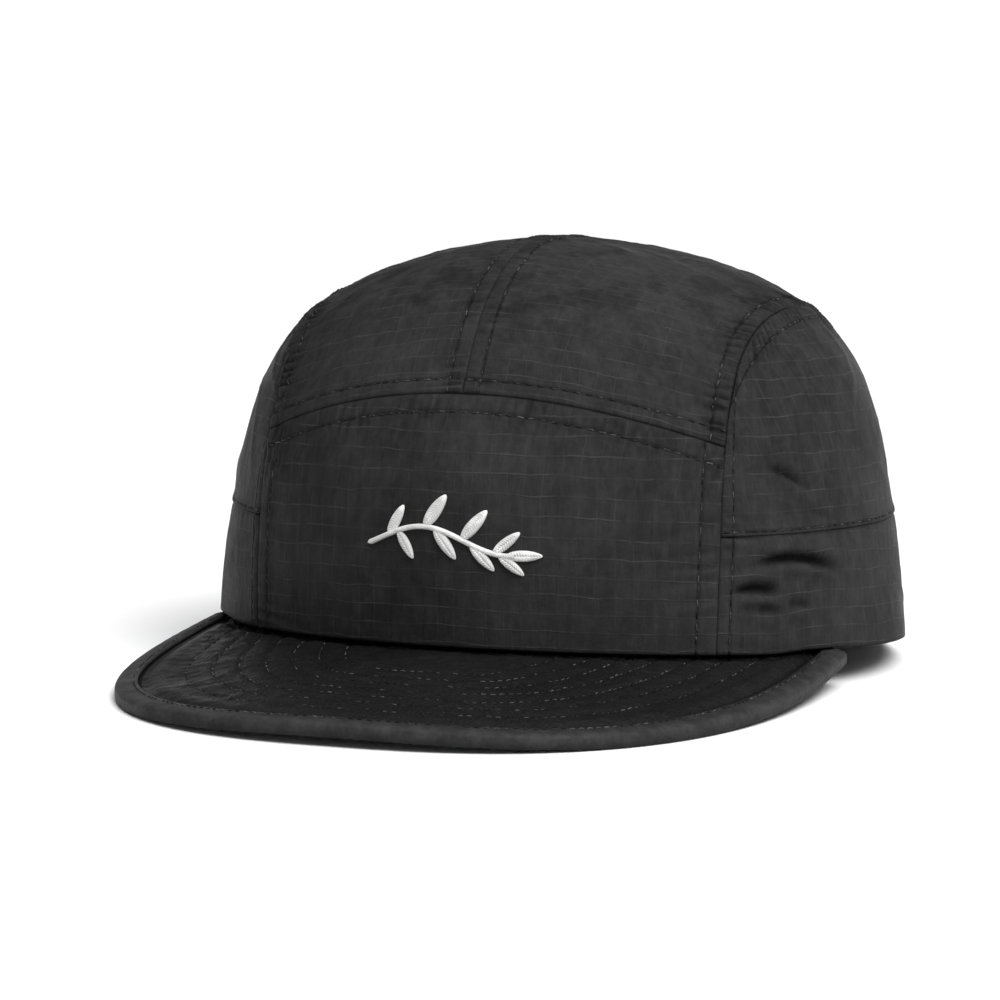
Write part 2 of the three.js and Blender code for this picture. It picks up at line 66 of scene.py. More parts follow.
# Sizes of the part, as in its source, in millimetres
CROWN_HALF_WIDTH = 90.0
CROWN_FRONT = 87.0
CROWN_BACK = 102.0
CROWN_HEIGHT = 107.4
SHOULDER_POWER = 3.55
CORNER_CUT = 0.029
CLOTH_WALL = 1.4
BAND_WALL = 1.5
STRAP_WALL = 1.5
SEAT_GAP = 0.3
SEAM_HALF_WIDTH = 58.5
ARCH_HEIGHT = 71.0
ARCH_DROP = 12.0
LEVEL_SEAM_HEIGHT = 38.0
SHOULDER_SWINGS = (56.0, 128.0)
PEAK_HALF_WIDTH = 83.8
PEAK_LENGTH = 77.0
PEAK_SET_BACK = 53.5
PEAK_POWER = 2.56
PEAK_FALL = 6.6
PEAK_CAMBER = 8.0
PLATE_WALL = 2.2
PLATE_EDGE = 1.0
BINDING_WALL = 1.0
BINDING_WIDTH = 5.3
PEAK_END_TUCK = 4.0
HEM_CLIMB = 9.0
HEM_HOLD = 9.0
HEM_FADE = 80.0
HEM_REST_LENGTH = 24.0
BAND_HEIGHT = 26.0
OPENING_HALF_WIDTH = 36.0
OPENING_HEIGHT = 38.0
STRAP_HEIGHT = 18.0
STRAP_LIFT = 4.0
STRAP_TUCK = 13.0
STRAP_CLEARANCE = 0.6
BUCKLE_LENGTH = 11.0
BUCKLE_WALL = 1.5
BUCKLE_RIM = 2.6
BUCKLE_PLACE = 9.0
SPRIG_WIDTH = 42.0
SPRIG_HEIGHT = 19.0
SPRIG_MIDDLE = 37.0
SPRIG_STEM = 1.3
SPRIG_RAISE = 0.9

PEAK_END_Y = PEAK_SET_BACK - CROWN_FRONT
EDGE_HALF = PLATE_EDGE / 2 + SEAT_GAP + BINDING_WALL

# From the middle of the crown's floor to the row's origin: the binding's tip is known in both
LENGTHWISE_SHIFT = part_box("peak_binding")[0].y / MM + CROWN_FRONT + PEAK_LENGTH

# Steps of the grids: fine and coarse, and the reach of the fine ones; the peak's start with its length
CLOTH_STEPS = (0.38, 0.95, 6)
PEAK_STEPS = (2.0, 0.008, 0.026, 0.22)
BINDING_SIDES = 23
SLIDER_STEPS = (96, 28)

# Small relief of the sewn cloth: the doubled cloth up to a row, the row's groove and its width
PLY_RIDGE = 0.32
ROW_GROOVE = 0.34
ROW_WIDTH = 0.5

# Small relief of the peak: way from the edge, width and height of the roll inside the binding and
# of the groove before it, and the depth of the rows
PEAK_ROLL = (10.8, 2.2, 0.5)
PEAK_GROOVE = (7.2, 1.1, 0.35)
PEAK_ROW_GROOVE = 0.32

# Shares of the plain rounded profiles, every 15 degrees of rise, and of the seams' half width,
# every 30 degrees of swing from the front hem over the top to the back
SIDE_SHARES = (1, 0.98, 0.95, 0.945, 0.94, 0.97, 1)
FRONT_SHARES = (1, 1.025, 1.03, 0.985, 0.975, 0.995, 1)
BACK_SHARES = (1, 1.03, 1.05, 1.05, 1, 0.99, 1)
SEAM_SHARES = (1, 1.005, 0.99, 1.04, 1.01, 0.93, 0.8)

# Folds and dents of the slack cloth: turn, rise and slant in degrees, then reach, breadth and
# height as shares of the crown's half width
FOLDS = (
    (-36, 22.6, 4, 0.1, 0.034, 0.012),
    (-24, 21, -20, 0.09, 0.034, 0.01),
    (-39, 17.8, -4, 0.07, 0.032, 0.01),
    (-31.5, 34, 12, 0.05, 0.034, 0.008),
    (-8, 74, 24, 0.16, 0.05, -0.01),
    (-40, 68, 10, 0.13, 0.05, -0.009),
    (-130, 62, -16, 0.16, 0.05, -0.008),
    (-165, 29, 12, 0.12, 0.05, 0.008),
)

# Sharp pleats of the visible side: turn and rise of the middle in degrees, then in millimetres half the
# length, the climb at its front end, the bow of its middle and the depth, which also sets the painted shade
# in the pleat
PLEATS = (
    (-30.9, 20.3, 12.0, -1.2, 1.7, 1.7),
    (-39.8, 16.2, 5.6, -0.3, 0.5, 1.7),
    (-31.1, 13.6, 3.2, -0.4, 0.3, 0.7),
    (-31.9, 32.0, 5.5, -2.0, 0.4, 1.0),
    (-37.5, 13.0, 3.5, -0.3, 0.2, 0.6),
    (-24.5, 26.5, 6.0, -1.6, 0.6, 0.35),
)

# Leaves of the sprig: place along the stem, lean in degrees, length and width
LEAVES = (
    (0.14, 62, 0.19, 0.34),
    (0.2, -58, 0.18, 0.34),
    (0.36, 56, 0.22, 0.36),
    (0.42, -52, 0.21, 0.34),
    (0.58, 50, 0.22, 0.34),
    (0.63, -46, 0.2, 0.32),
    (0.76, 40, 0.19, 0.32),
    (0.79, -38, 0.18, 0.32),
    (0.83, 1, 0.2, 0.32),
)

# The camera that the photograph was taken from: degrees, millimetres and pixels
VIEW_TURN = 18.2765
VIEW_RISE = 5.4365
VIEW_ROLL = 0.902
VIEW_DISTANCE = 779.1
VIEW_TARGET = (0.0, -50.75, 43.29)
VIEW_FOCUS = 3177.9
PHOTO_WIDTH = 1000
SENSOR_WIDTH = 36

# The studio, in metres
FLOOR_RINGS = (0.2, 1, 3, 8, 20)
CEILING_PLACE = (0.38, -0.25, 1.1)
WINDOW_PLACE = (0.75, -0.5, 0.95)


def length_property(name, description, millimetres):
    """A length that a user may change, shown in Blender's own units."""
    return FloatProperty(
        name=name, description=description, default=millimetres * MM, min=0, unit="LENGTH", precision=5
    )


def colour_property(name, description, value):
    """A colour that a user may change."""
    return FloatVectorProperty(
        name=name, description=description, default=value, size=3, min=0, max=1, subtype="COLOR"
    )


class CapSewing(bpy.types.PropertyGroup):
    """How the cap is sewn."""

    long_row: length_property("Long seam row", "From the long seams to their stitching", 3.6)
    arch_row: length_property("Arch row", "From the arched seam to its stitching", 3.9)
    middle_row: length_property("Middle row", "From the seam over the head to its stitching", 4.3)
    level_row: length_property("Level row", "From the level side seams to their stitching", 1.1)
    hem_row: length_property("Back row", "From the back opening's edge to its stitching", 4.0)
    stitch: length_property("Stitch", "Length of one stitch with its gap", 2.8)
    peak_stitch: length_property("Peak stitch", "Length of one stitch on the peak", 2.1)
    thread: length_property("Thread", "Thickness of the sewing thread", 0.38)
    peak_rows: IntProperty(name="Peak rows", description="Rows of stitching on the peak", default=7, min=1)
    first_peak_row: length_property("First peak row", "From the peak's edge to the first row", 16.5)
    peak_row_step: length_property("Peak row step", "Between two rows on the peak", 6.2)


class CapCloth(bpy.types.PropertyGroup):
    """How the cloth lies and what it is woven like."""

    check: length_property("Ripstop check", "Between two thick threads of the weave", 4.6)
    pucker: length_property("Pucker", "Height of the puckers along the seams", 0.2)
    crease: length_property("Crease", "Height of the creases in the slack cloth", 0.42)
    nylon: colour_property("Nylon", "Colour of the crown's cloth", (0.0265, 0.0265, 0.0273))
    # The peak's cloth is the crown's ripstop painted darker, a painted dark reflection of the crown's front
    peak: colour_property("Peak", "Colour of the peak's cloth", (0.0078, 0.0078, 0.0081))
    binding: colour_property("Binding", "Colour of the peak's binding", (0.034, 0.034, 0.0347))
    band: colour_property("Band", "Colour of the sweatband", (0.008, 0.008, 0.009))
    webbing: colour_property("Webbing", "Colour of the back strap", (0.012, 0.012, 0.013))
    plastic: colour_property("Plastic", "Colour of the strap's slider", (0.006, 0.006, 0.007))
    thread: colour_property("Thread", "Colour of the crown's thread", (0.009, 0.009, 0.0092))
    peak_thread: colour_property("Peak thread", "Colour of the peak's thread", (0.009, 0.009, 0.0092))
    sprig: colour_property("Sprig", "Colour of the embroidery", (0.74, 0.74, 0.73))


class CapStudio(bpy.types.PropertyGroup):
    """Light and floor of the studio."""

    floor: colour_property("Floor", "Colour of the floor", (0.93, 0.93, 0.935))
    sky: FloatProperty(name="Walls", description="Strength of the pale walls", default=1.06, min=0)
    ceiling: FloatProperty(name="Ceiling", description="Strength of the soft light above", default=2.7, min=0)
    window: FloatProperty(name="Window", description="Watts of the lamp at the side", default=6.5, min=0)


# ---- Shapes of the crown


def ease(value, low=0.0, high=1.0):
    """A smooth step: 0 up to low, 1 from high on, level at both."""
    share = np.clip((value - low) / (high - low), 0, 1)
    return share * share * (3 - 2 * share)


def mix(low, high, share):
    """The point a share of the way from low to high."""
    return low + (high - low) * share


def hump(distance, width):
    """A bell of height 1 that falls off over the width."""
    return np.exp(-((distance / width) ** 2))


def rounded(wave, power):
    """A sine or cosine swollen so that its path becomes a rounded oblong."""
    return np.sign(wave) * np.abs(wave) ** power


def run_along(points):
    """The way along a line up to each of its points."""
    return np.concatenate([[0], np.cumsum(np.linalg.norm(np.diff(points, axis=0), axis=1))])


def level_at(height):
    """The same height at every x and y."""
    return lambda x, y: height + 0 * x


def level_curve(values, place):
    """A smooth curve through evenly spaced values, level at both ends; place counts values."""
    values = np.asarray(values, float)
    last = len(values) - 1
    place = np.clip(place, 0, last)
    cell = np.minimum(place.astype(int), last - 1)
    ringed = np.concatenate([values[1:2], values, values[-2:-1]])
    before = (ringed[cell + 2] - ringed[cell]) / 2
    after = (ringed[cell + 3] - ringed[cell + 1]) / 2
    t = place - cell
    u = 1 - t
    ends = u * u * (1 + 2 * t) * ringed[cell + 1] + t * t * (1 + 2 * u) * ringed[cell + 2]
    return ends + u * u * t * before - t * t * u * after


def solve(measure, low, high, like):
    """Halves the way between low and high until a steady measure passes zero, for a whole array."""
    low = np.broadcast_to(np.asarray(low, float), np.shape(like)).copy()
    high = np.broadcast_to(np.asarray(high, float), np.shape(like)).copy()
    rises = measure(high) > measure(low)
    for _ in range(20):
        middle = (low + high) / 2
        past = (measure(middle) > 0) == rises
        high = np.where(past, middle, high)
        low = np.where(past, low, middle)
    return (low + high) / 2


def fold_height(turn, rise):
    """The sum of one stretched bell for each row of the table of folds."""
    height = 0.0
    for row_turn, row_rise, slant, reach, breadth, share in FOLDS:
        along = np.sin((turn - math.radians(row_turn)) / 2) * 2 * math.cos(math.radians(row_rise))
        up = rise - math.radians(row_rise)
        lean = math.radians(slant)
        far = (along * math.cos(lean) + up * math.sin(lean)) / reach
        wide = (up * math.cos(lean) - along * math.sin(lean)) / breadth
        height = height + share * CROWN_HALF_WIDTH * np.exp(-far * far - wide * wide)
    return height


def crown_radius(turn, rise, folded=True):
    """Distance of the crown from the floor point: upright rounded profiles, times their shares,
    joined round the plan by an ellipse with slightly cut corners, plus the folds."""
    place = np.degrees(rise) / 15
    cosine = np.maximum(np.cos(rise), 0)

    def profile(reach, shares):
        corner = (cosine / reach) ** SHOULDER_POWER + (np.sin(rise) / CROWN_HEIGHT) ** SHOULDER_POWER
        return level_curve(shares, place) * corner ** (-1 / SHOULDER_POWER)

    side = profile(CROWN_HALF_WIDTH, SIDE_SHARES)
    front = profile(CROWN_FRONT, FRONT_SHARES)
    back = profile(CROWN_BACK, BACK_SHARES)
    along = np.where(turn < 0, front, back)
    ellipse = 1 / np.hypot(np.cos(turn) / side, np.sin(turn) / along)
    radius = ellipse * (1 - CORNER_CUT * (np.sin(2 * turn) * cosine) ** 2)
    return radius + fold_height(turn, rise) if folded else radius


def angles_of(points):
    """Turn in plan and rise from the floor point."""
    length = np.linalg.norm(points, axis=-1)
    rise = np.arcsin(np.clip(points[..., 2] / length, 0, 1))
    return np.arctan2(points[..., 1], points[..., 0]), rise


def outside(points, folded=True):
    """How far points lie outside the crown, along the line from the floor point."""
    turn, rise = angles_of(points)
    return np.linalg.norm(points, axis=-1) - crown_radius(turn, rise, folded)


def crown_point(turn, rise, folded=True):
    """The crown's point at a turn and a rise."""
    wrapped = np.arctan2(np.sin(turn), np.cos(turn))
    radius = crown_radius(wrapped, rise, folded)
    flat = radius * np.cos(rise)
    return np.stack([flat * np.cos(turn), flat * np.sin(turn), radius * np.sin(rise)], axis=-1)


def crown_normal(points, folded=True):
    """The way outwards: the slope of outside() along each axis, made one long."""
    steps = np.eye(3) * 0.05
    slope = [outside(points + step, folded) - outside(points - step, folded) for step in steps]
    slope = np.stack(slope, axis=-1)
    return slope / np.linalg.norm(slope, axis=-1, keepdims=True)


def gore_point(share, swing):
    """The crown's point by its share of the way to the long seam and its swing about the
    left-right line, found along the ray of that swing."""
    share, swing = np.broadcast_arrays(share, swing)
    x = share * SEAM_HALF_WIDTH * level_curve(SEAM_SHARES, np.degrees(swing) / 30)

    def at(reach):
        return np.stack([x, -reach * np.cos(swing), reach * np.sin(swing)], axis=-1)

    return at(solve(lambda reach: outside(at(reach)), 1, CROWN_HEIGHT + CROWN_BACK, x))


def gore_swing(share, low, high, height):
    """The swing at which the crown crosses a height that may change with x and y."""

    def over(swing):
        point = gore_point(share, swing)
        return point[..., 2] - height(point[..., 0], point[..., 1])

    return solve(over, math.radians(low), math.radians(high), share)


def arch_swing(share):
    """The swing of the arched seam, which drops towards its ends."""
    return gore_swing(share, 10, 80, lambda x, y: ARCH_HEIGHT - ARCH_DROP * share * share)


def rise_where(turn, height, folded=True):
    """The rise at which the crown crosses a height, straight up at one turn."""

    def over(rise):
        point = crown_point(turn, rise, folded)
        return point[..., 2] - height(point[..., 0], point[..., 1])

    return solve(over, 0, math.radians(60), turn)


def peak_drop(x, y):
    """The peak falls evenly to its tip and with the square of the way out to its sides."""
    return PEAK_FALL * (-CROWN_FRONT - y) / PEAK_LENGTH + PEAK_CAMBER * (x / PEAK_HALF_WIDTH) ** 2


def peak_outline(angle):
    """A rounded oval in plan from the left end (0) round the tip to the right end (pi)."""
    across = np.abs(np.cos(angle) / PEAK_HALF_WIDTH) ** PEAK_POWER
    along = np.abs(np.sin(angle) / (PEAK_SET_BACK + PEAK_LENGTH)) ** PEAK_POWER
    reach = (across + along) ** (-1 / PEAK_POWER)
    return np.stack([reach * np.cos(angle), PEAK_END_Y - reach * np.sin(angle)], axis=-1)


def peak_inset(angle, inset):
    """The outline moved in along its own normal."""
    tangent = peak_outline(angle + 0.001) - peak_outline(angle - 0.001)
    tangent = tangent / np.linalg.norm(tangent, axis=-1, keepdims=True)
    inward = np.stack([tangent[..., 1], -tangent[..., 0]], axis=-1)
    return peak_outline(angle) + inward * np.asarray(inset)[..., None]


LOWEST_EDGE = peak_inset(np.linspace(0, math.pi, 45), BINDING_WALL * 1.5)
HEM_LIFT = float(peak_drop(LOWEST_EDGE[:, 0], LOWEST_EDGE[:, 1]).max()) + PLATE_WALL / 2 + EDGE_HALF


def peak_top(x, y):
    """Height of the peak's upper side."""
    return HEM_LIFT - peak_drop(x, y)


def hem_height(x, y):
    """The hem lies on the peak, climbs over the binding's ends and runs down to the floor."""

    def on_peak(near):
        climb = ease(near, PEAK_END_Y - HEM_HOLD - HEM_CLIMB, PEAK_END_Y - HEM_HOLD)
        return peak_top(x, near) + SEAT_GAP + (EDGE_HALF - PLATE_WALL / 2) * climb

    rest = CROWN_BACK - HEM_REST_LENGTH
    plain = np.maximum(0, HEM_LIFT * (rest - y) / (CROWN_FRONT + rest))
    fade = ease(y, PEAK_END_Y + HEM_HOLD, PEAK_END_Y + HEM_HOLD + HEM_FADE)
    return mix(on_peak(np.minimum(y, PEAK_END_Y)), plain, fade)


def opening_edge(x, y):
    """The back opening's arch above the hem."""
    return hem_height(x, y) + OPENING_HEIGHT * np.maximum(0, 1 - (x / OPENING_HALF_WIDTH) ** 2)


# ---- Cloth patches


def pleat_height(points):
    """Narrow pleats: across each line a sharp groove with a low roll of cloth over and under it, all tapering
    to the line's ends. Returns their height and the painted shade in their grooves, darker the deeper a pleat
    is."""
    turn, rise = angles_of(points)
    radius = np.linalg.norm(points, axis=-1)
    height = np.zeros(radius.shape)
    valley_shade = np.zeros(radius.shape)
    for row_turn, row_rise, half, climb, bow, depth in PLEATS:
        along = np.sin(turn - math.radians(row_turn)) * radius * math.cos(math.radians(row_rise))
        share = along / half
        up = (rise - math.radians(row_rise)) * radius - climb * share + bow * share * share
        across = 0.6 * hump(up + 2.3, 1.5) + 0.35 * hump(up - 2.6, 1.9)
        near = (np.cos(turn - math.radians(row_turn)) > 0) * np.exp(-(share**4))
        groove = (hump(up, 0.8) + 0.4 * hump(up - 0.9, 1.0)) * near
        height = height + depth * (across * near - groove)
        # Painted shade in the pleat's groove
        valley_shade = valley_shade + min(1.0, depth * 0.75) * groove
    return height, valley_shade


def random_waves(points, size, seed, count=10):
    """A smooth random field of about the given size: a sum of plane waves in seeded directions,
    over points that are themselves bent by two slower waves."""
    rng = np.random.default_rng(seed)
    bent = points + 0.3 * size * np.sin(points[..., [1, 2, 0]] / size * 1.7 + rng.uniform(0, 6, 3))
    heading = rng.normal(size=(count, 3))
    heading = heading / np.linalg.norm(heading, axis=1, keepdims=True)
    waves = heading * rng.uniform(0.6, 1.5, (count, 1)) * 2 * math.pi / size
    return np.cos(bent @ waves.T + rng.uniform(0, 6.3, count)).sum(-1) / math.sqrt(count / 2)


def creases(points, size, seed):
    """Creases stand where a random field crosses zero, with shallow dents between them."""
    return hump(random_waves(points, size, seed), 0.45) - 0.4


def puckers(along, away, pitch, seed):
    """Ripples across a seam: a wave along it whose pace and height wander, leaning with distance."""
    rng = np.random.default_rng(seed)
    shift = rng.uniform(0, 6.3, 4)
    phase = 2 * math.pi * along / pitch + shift[0] + 0.25 * away
    phase = phase + 1.6 * np.sin(along / (pitch * 0.9) + shift[1])
    phase = phase + 0.9 * np.sin(along / pitch * 2.3 + shift[2])
    return np.sin(phase) * (0.6 + 0.4 * np.sin(along / (pitch * 1.4) + shift[3]))


class Finish(NamedTuple):
    """How one border of a piece of cloth is finished, with lengths in millimetres: the way to its row of
    stitches, the strength, pitch and reach of its puckers, the depth of its groove, the rounding of its edge,
    and how dark and how wide the painted shade along it is."""

    row: float = 0.0
    pucker: float = 0.0
    pitch: float = 4.5
    reach: float = 3.5
    groove: float = 0.16
    edge: float = 0.14
    shade: float = 0.4
    shade_width: float = 0.35


class Patch:
    """A four-sided piece of the crown's cloth. place(u, v) gives points of the smooth crown, u
    across or along the piece and v up it, both from 0 to 1. borders gives each side's finish, and
    foot and head the heights that its lower and upper edge are trimmed to."""

    def __init__(self, place, borders, slack=1.0, seed=1, foot=None, head=None):
        self.place = place
        self.borders = borders
        self.slack = slack
        self.seed = seed
        self.foot = foot
        self.head = head
        self.probe = np.linspace(0, 1, 41)
        points = place(self.probe[:, None], self.probe[None, :])
        self.widths = np.linalg.norm(np.diff(points, axis=0), axis=-1).sum(0)
        self.heights = np.linalg.norm(np.diff(points, axis=1), axis=-1).sum(1)

    def spans(self, u, v):
        """Width of the cloth at v and height at u."""
        return np.interp(v, self.probe, self.widths), np.interp(u, self.probe, self.heights)

    def relief(self, u, v, points, cloth):
        """Four fields over the smooth crown: how high the cloth lies, how high its outer ply stands on that,
        how far its edges are rounded off, and how much painted shade it gets. They are creases that fade
        towards the seams and pleats, then at each border the doubled cloth up to the stitching, the grooves
        of stitching and seam, and puckers. The painted shade darkens the pleats' grooves, patches among the
        crumples over the head, the low parts of the puckers, the rows and the seams, and the hem most of all."""
        width, height = self.spans(u, v)
        ways = {"left": u * width, "right": (1 - u) * width, "foot": v * height, "head": (1 - v) * height}
        away = {side: np.broadcast_to(way, points.shape[:-1]) for side, way in ways.items()}
        nearest = np.minimum.reduce(list(away.values()))
        inner = ease(nearest, 1, 12)
        crease = cloth.crease / MM * self.slack
        lie = crease * inner * (creases(points, 36, self.seed) + 0.3 * creases(points, 13, self.seed + 50))
        lie = lie + 0.03 * self.slack * random_waves(points, 6, self.seed + 90)
        pleat, painted_shade = pleat_height(points)
        # Painted shade: dark patches among the crumples of the cloth over the head
        crumple_shade = random_waves(points * [1, 1, 1.8], 17, self.seed + 120) + 0.35 * random_waves(points, 4, 5)
        over_head = ease(points[..., 2], 86, 94) * ease(-points[..., 1], -30, 0)
        over_head = over_head * ease(self.slack, 0.7, 1)
        painted_shade = painted_shade + 0.34 * ease(crumple_shade, 0.2, 1.0) * over_head
        lie = lie + pleat * ease(nearest, 0, 4)
        skin = 0.0
        rounding = np.zeros(points.shape[:-1])
        for number, (side, finish) in enumerate(self.borders.items()):
            gone = away[side]
            run = v * height if side in ("left", "right") else u * width
            strength = finish.pucker * cloth.pucker / MM
            ripple = puckers(run, gone, finish.pitch, self.seed * 7 + number)
            spread = np.exp(-np.maximum(gone - finish.row, 0) / finish.reach) * ease(gone, 0, 1.2)
            lie = lie + strength * ripple * spread
            # Painted shade in the low parts of the puckers
            dip_shade = np.maximum(-ripple, 0) ** 0.8 * spread
            painted_shade = painted_shade + min(strength * 1.6, 0.9) * dip_shade
            if finish.row:
                ridge = PLY_RIDGE * (1 - ease(gone, finish.row + 0.2, finish.row + 1.5))
                skin = skin + ridge - ROW_GROOVE * hump(gone - finish.row, ROW_WIDTH)
                # Painted shade along the row's groove
                painted_shade = painted_shade + 0.45 * hump(gone - finish.row, 0.4)
            skin = skin - finish.groove * hump(gone, 0.9)
            # Painted shade along each border, as dark and wide as its finish says
            painted_shade = painted_shade + finish.shade * hump(gone, finish.shade_width)
            edge = finish.edge
            short = np.clip(1 - gone / edge, 0, 1)
            rounding = np.maximum(rounding, edge * (1 - np.sqrt(1 - short * short)))
        return lie, skin * ease(nearest, 0, 0.4), rounding, np.clip(painted_shade, 0, 1)

    def surface(self, u, v, cloth, inside=False):
        """The cloth's outer or inner side and its painted shade: the smooth crown moved along its normal by
        the relief, and rounded off at the borders."""
        points = self.place(u, v)
        u = np.broadcast_to(u, points.shape[:-1])
        v = np.broadcast_to(v, points.shape[:-1])
        normals = crown_normal(points)
        lie, skin, rounding, painted_shade = self.relief(u, v, points, cloth)
        height = lie - CLOTH_WALL + rounding if inside else lie + skin - rounding
        points = points + normals * height[..., None]
        for edge, at_edge in ((self.foot, v <= 0), (self.head, v >= 1)):
            if edge:
                trimmed = edge(points[..., 0], points[..., 1])
                points[..., 2] = np.where(at_edge, trimmed, points[..., 2])
        return points, painted_shade

    def row(self, side, distance, count=260):
        """The u and v of a line that runs along a border at a distance from it."""
        run = np.linspace(0, 1, count)
        width, height = self.spans(run, run)
        if side == "left":
            return distance / width, run
        if side == "right":
            return 1 - distance / width, run
        if side == "foot":
            return run, distance / height
        return run, 1 - distance / height


def front_patch():
    """The tall front panel, between the long seams and from the hem up to the arched seam."""

    def place(u, v):
        share = mix(-1.0, 1.0, u)
        low = gore_swing(share, 0, 45, hem_height)
        return gore_point(share, mix(low, arch_swing(share) - 0.0001, v))

    return place


def top_patch(side):
    """One of the two panels over the head, from the arched seam back to the opening."""

    def place(u, v):
        share = side * mix(-0.0004, 1.0, u)
        high = gore_swing(share, 120, 180, opening_edge)
        return gore_point(share, mix(arch_swing(share) + 0.0001, high, v))

    return place


def side_patch(side, upper):
    """A side's piece above or below its level seam: its four borders are lines on the crown in
    turn and rise, and the inside blends them by the sum of both ways less the four corners."""
    share = side * 1.0001

    def seam(swing):
        point = gore_point(share, swing)
        turn = np.arctan2(point[..., 1], side * point[..., 0])
        return np.stack([turn, angles_of(point)[1]], axis=-1)

    def ends(height):
        one = np.array(share)
        return float(gore_swing(one, 0, 60, height)), float(gore_swing(one, 120, 180, height))

    def level(height):
        swings = ends(height)
        turns = seam(np.array(swings))[:, 0]

        def line(u):
            turn = mix(turns[0], turns[1], u)
            plan = turn if side > 0 else math.pi - turn
            return np.stack([turn, rise_where(plan, height)], axis=-1)

        return swings, line

    middle, middle_line = level(level_at(LEVEL_SEAM_HEIGHT + (0.03 if upper else -0.03)))
    if upper:
        low, bottom = middle, middle_line
        high = tuple(math.radians(swing) for swing in SHOULDER_SWINGS)

        def top(u):
            return seam(mix(high[0], high[1], u))

    else:
        low, bottom = level(hem_height)
        high, top = middle, middle_line

    def place(u, v):
        first, second = bottom(u), top(u)
        front, back = seam(mix(low[0], high[0], v)), seam(mix(low[1], high[1], v))
        u, v = np.asarray(u)[..., None], np.asarray(v)[..., None]
        zero, one = np.zeros(1), np.ones(1)
        angles = first * (1 - v) + second * v + front * (1 - u) + back * u
        angles = angles - (1 - u) * ((1 - v) * bottom(zero)[0] + v * top(zero)[0])
        angles = angles - u * ((1 - v) * bottom(one)[0] + v * top(one)[0])
        turn = angles[..., 0] if side > 0 else math.pi - angles[..., 0]
        return crown_point(turn, angles[..., 1])

    return place


@functools.cache
def crown_patches():
    """Every piece of the crown's cloth with its borders' finishes."""
    sewing = bpy.context.scene.cap_sewing
    long_row, arch_row = sewing.long_row / MM, sewing.arch_row / MM
    middle, level, back = sewing.middle_row / MM, sewing.level_row / MM, sewing.hem_row / MM
    full_edge = CLOTH_WALL * 0.47
    # The hem gets strong painted shade, a painted dark line where shade falls under it
    plain_hem = Finish(groove=0.0, edge=full_edge, shade=0.95, shade_width=0.8)
    long_front = Finish(long_row + 1, 0.9, 4.6, 7, shade=0.15, edge=0.06)
    long_top = Finish(long_row, 3.2, 2.8, 2.2, shade=0.5)
    long_side = Finish(long_row + 1.4, 2.2, 3.1, 2.5, shade=0.4)
    long_low = Finish(long_row, 0.8, 5, 6, shade=0.15, edge=0.06)
    arch_low = Finish(arch_row + 0.6, 1.3, 3.0, 5, shade=0.55, edge=0.18)
    arch_high = Finish(arch_row, 0.4, 4.2)
    over_head = Finish(middle, 1.4, 3.0, shade=0.12, edge=0.06)
    opening = Finish(back, 0.4, 5, groove=0.0, edge=full_edge)
    level_high = Finish(level, 0.25, 4, groove=0.0, edge=0.15, shade=0.2)
    level_low = Finish(0, 0.35, 5, groove=0.3, edge=0.15, shade=0.5)
    patches = {
        "front_panel": Patch(
            front_patch(),
            {"left": long_front, "right": long_front, "head": arch_low, "foot": plain_hem},
            slack=0.25, seed=3, foot=hem_height,
        )
    }
    for name, side, seed in (("left", 1, 11), ("right", -1, 17)):
        patches[f"top_panel_{name}"] = Patch(
            top_patch(side),
            {"left": over_head, "right": long_top, "foot": arch_high, "head": opening},
            slack=1.15, seed=seed, head=opening_edge,
        )
        patches[f"side_panel_{name}_upper"] = Patch(
            side_patch(side, True),
            {"left": long_low, "right": long_low, "head": long_side, "foot": level_high},
            slack=0.6, seed=seed + 2,
        )
        patches[f"side_panel_{name}_lower"] = Patch(
            side_patch(side, False),
            {"left": long_low, "right": long_low, "head": level_low, "foot": plain_hem},
            slack=0.55, seed=seed + 4, foot=hem_height,
        )
    return patches


# ---- Meshes


def graded(length, fine, coarse, reach):
    """Shares from 0 to 1 whose steps grow from fine at both ends to coarse in the middle."""
    place = np.linspace(0, length, 4000)
    near = np.minimum(place, length - place)
    step = mix(fine, coarse, ease(near, reach, reach * 1.8))
    count = np.concatenate([[0], np.cumsum(np.diff(place) / step[1:])])
    return np.interp(np.linspace(0, count[-1], math.ceil(count[-1]) + 1), count, place / length)


def grid_faces(rows, columns, first=0, closed_rows=False, closed_columns=False):
    """Quads between the neighbours of a grid of points."""
    i = np.arange(rows if closed_rows else rows - 1)[:, None]
    j = np.arange(columns if closed_columns else columns - 1)[None, :]
    after_i, after_j = (i + 1) % rows, (j + 1) % columns
    corners = [i * columns + j, after_i * columns + j, after_i * columns + after_j, i * columns + after_j]
    return np.stack(np.broadcast_arrays(*corners), axis=-1).reshape(-1, 4) + first


def shell(front, back):
    """A closed wall between two grids: both grids, and quads round their four borders."""
    rows, columns = front.shape[:2]
    count = rows * columns
    outer = grid_faces(rows, columns)
    inner = grid_faces(rows, columns, count)[:, ::-1]
    i, j = np.arange(rows), np.arange(columns)
    last_i, last_j = rows - 1, columns - 1
    loop = np.concatenate(
        [i * columns, last_i * columns + j[1:], i[-2::-1] * columns + last_j, j[-2:0:-1]]
    )
    after = np.roll(loop, -1)
    rim = np.stack([loop, loop + count, after + count, after], axis=-1)
    return np.concatenate([front.reshape(-1, 3), back.reshape(-1, 3)]), np.concatenate([outer, inner, rim])


def tube(rings):
    """A closed skin over rings of points, with a flat face at each end."""
    count, sides = rings.shape[:2]
    faces = grid_faces(count, sides, closed_columns=True)
    ends = [np.arange(sides)[::-1], np.arange(sides) + (count - 1) * sides]
    return rings.reshape(-1, 3), [*faces.tolist(), *(end.tolist() for end in ends)]


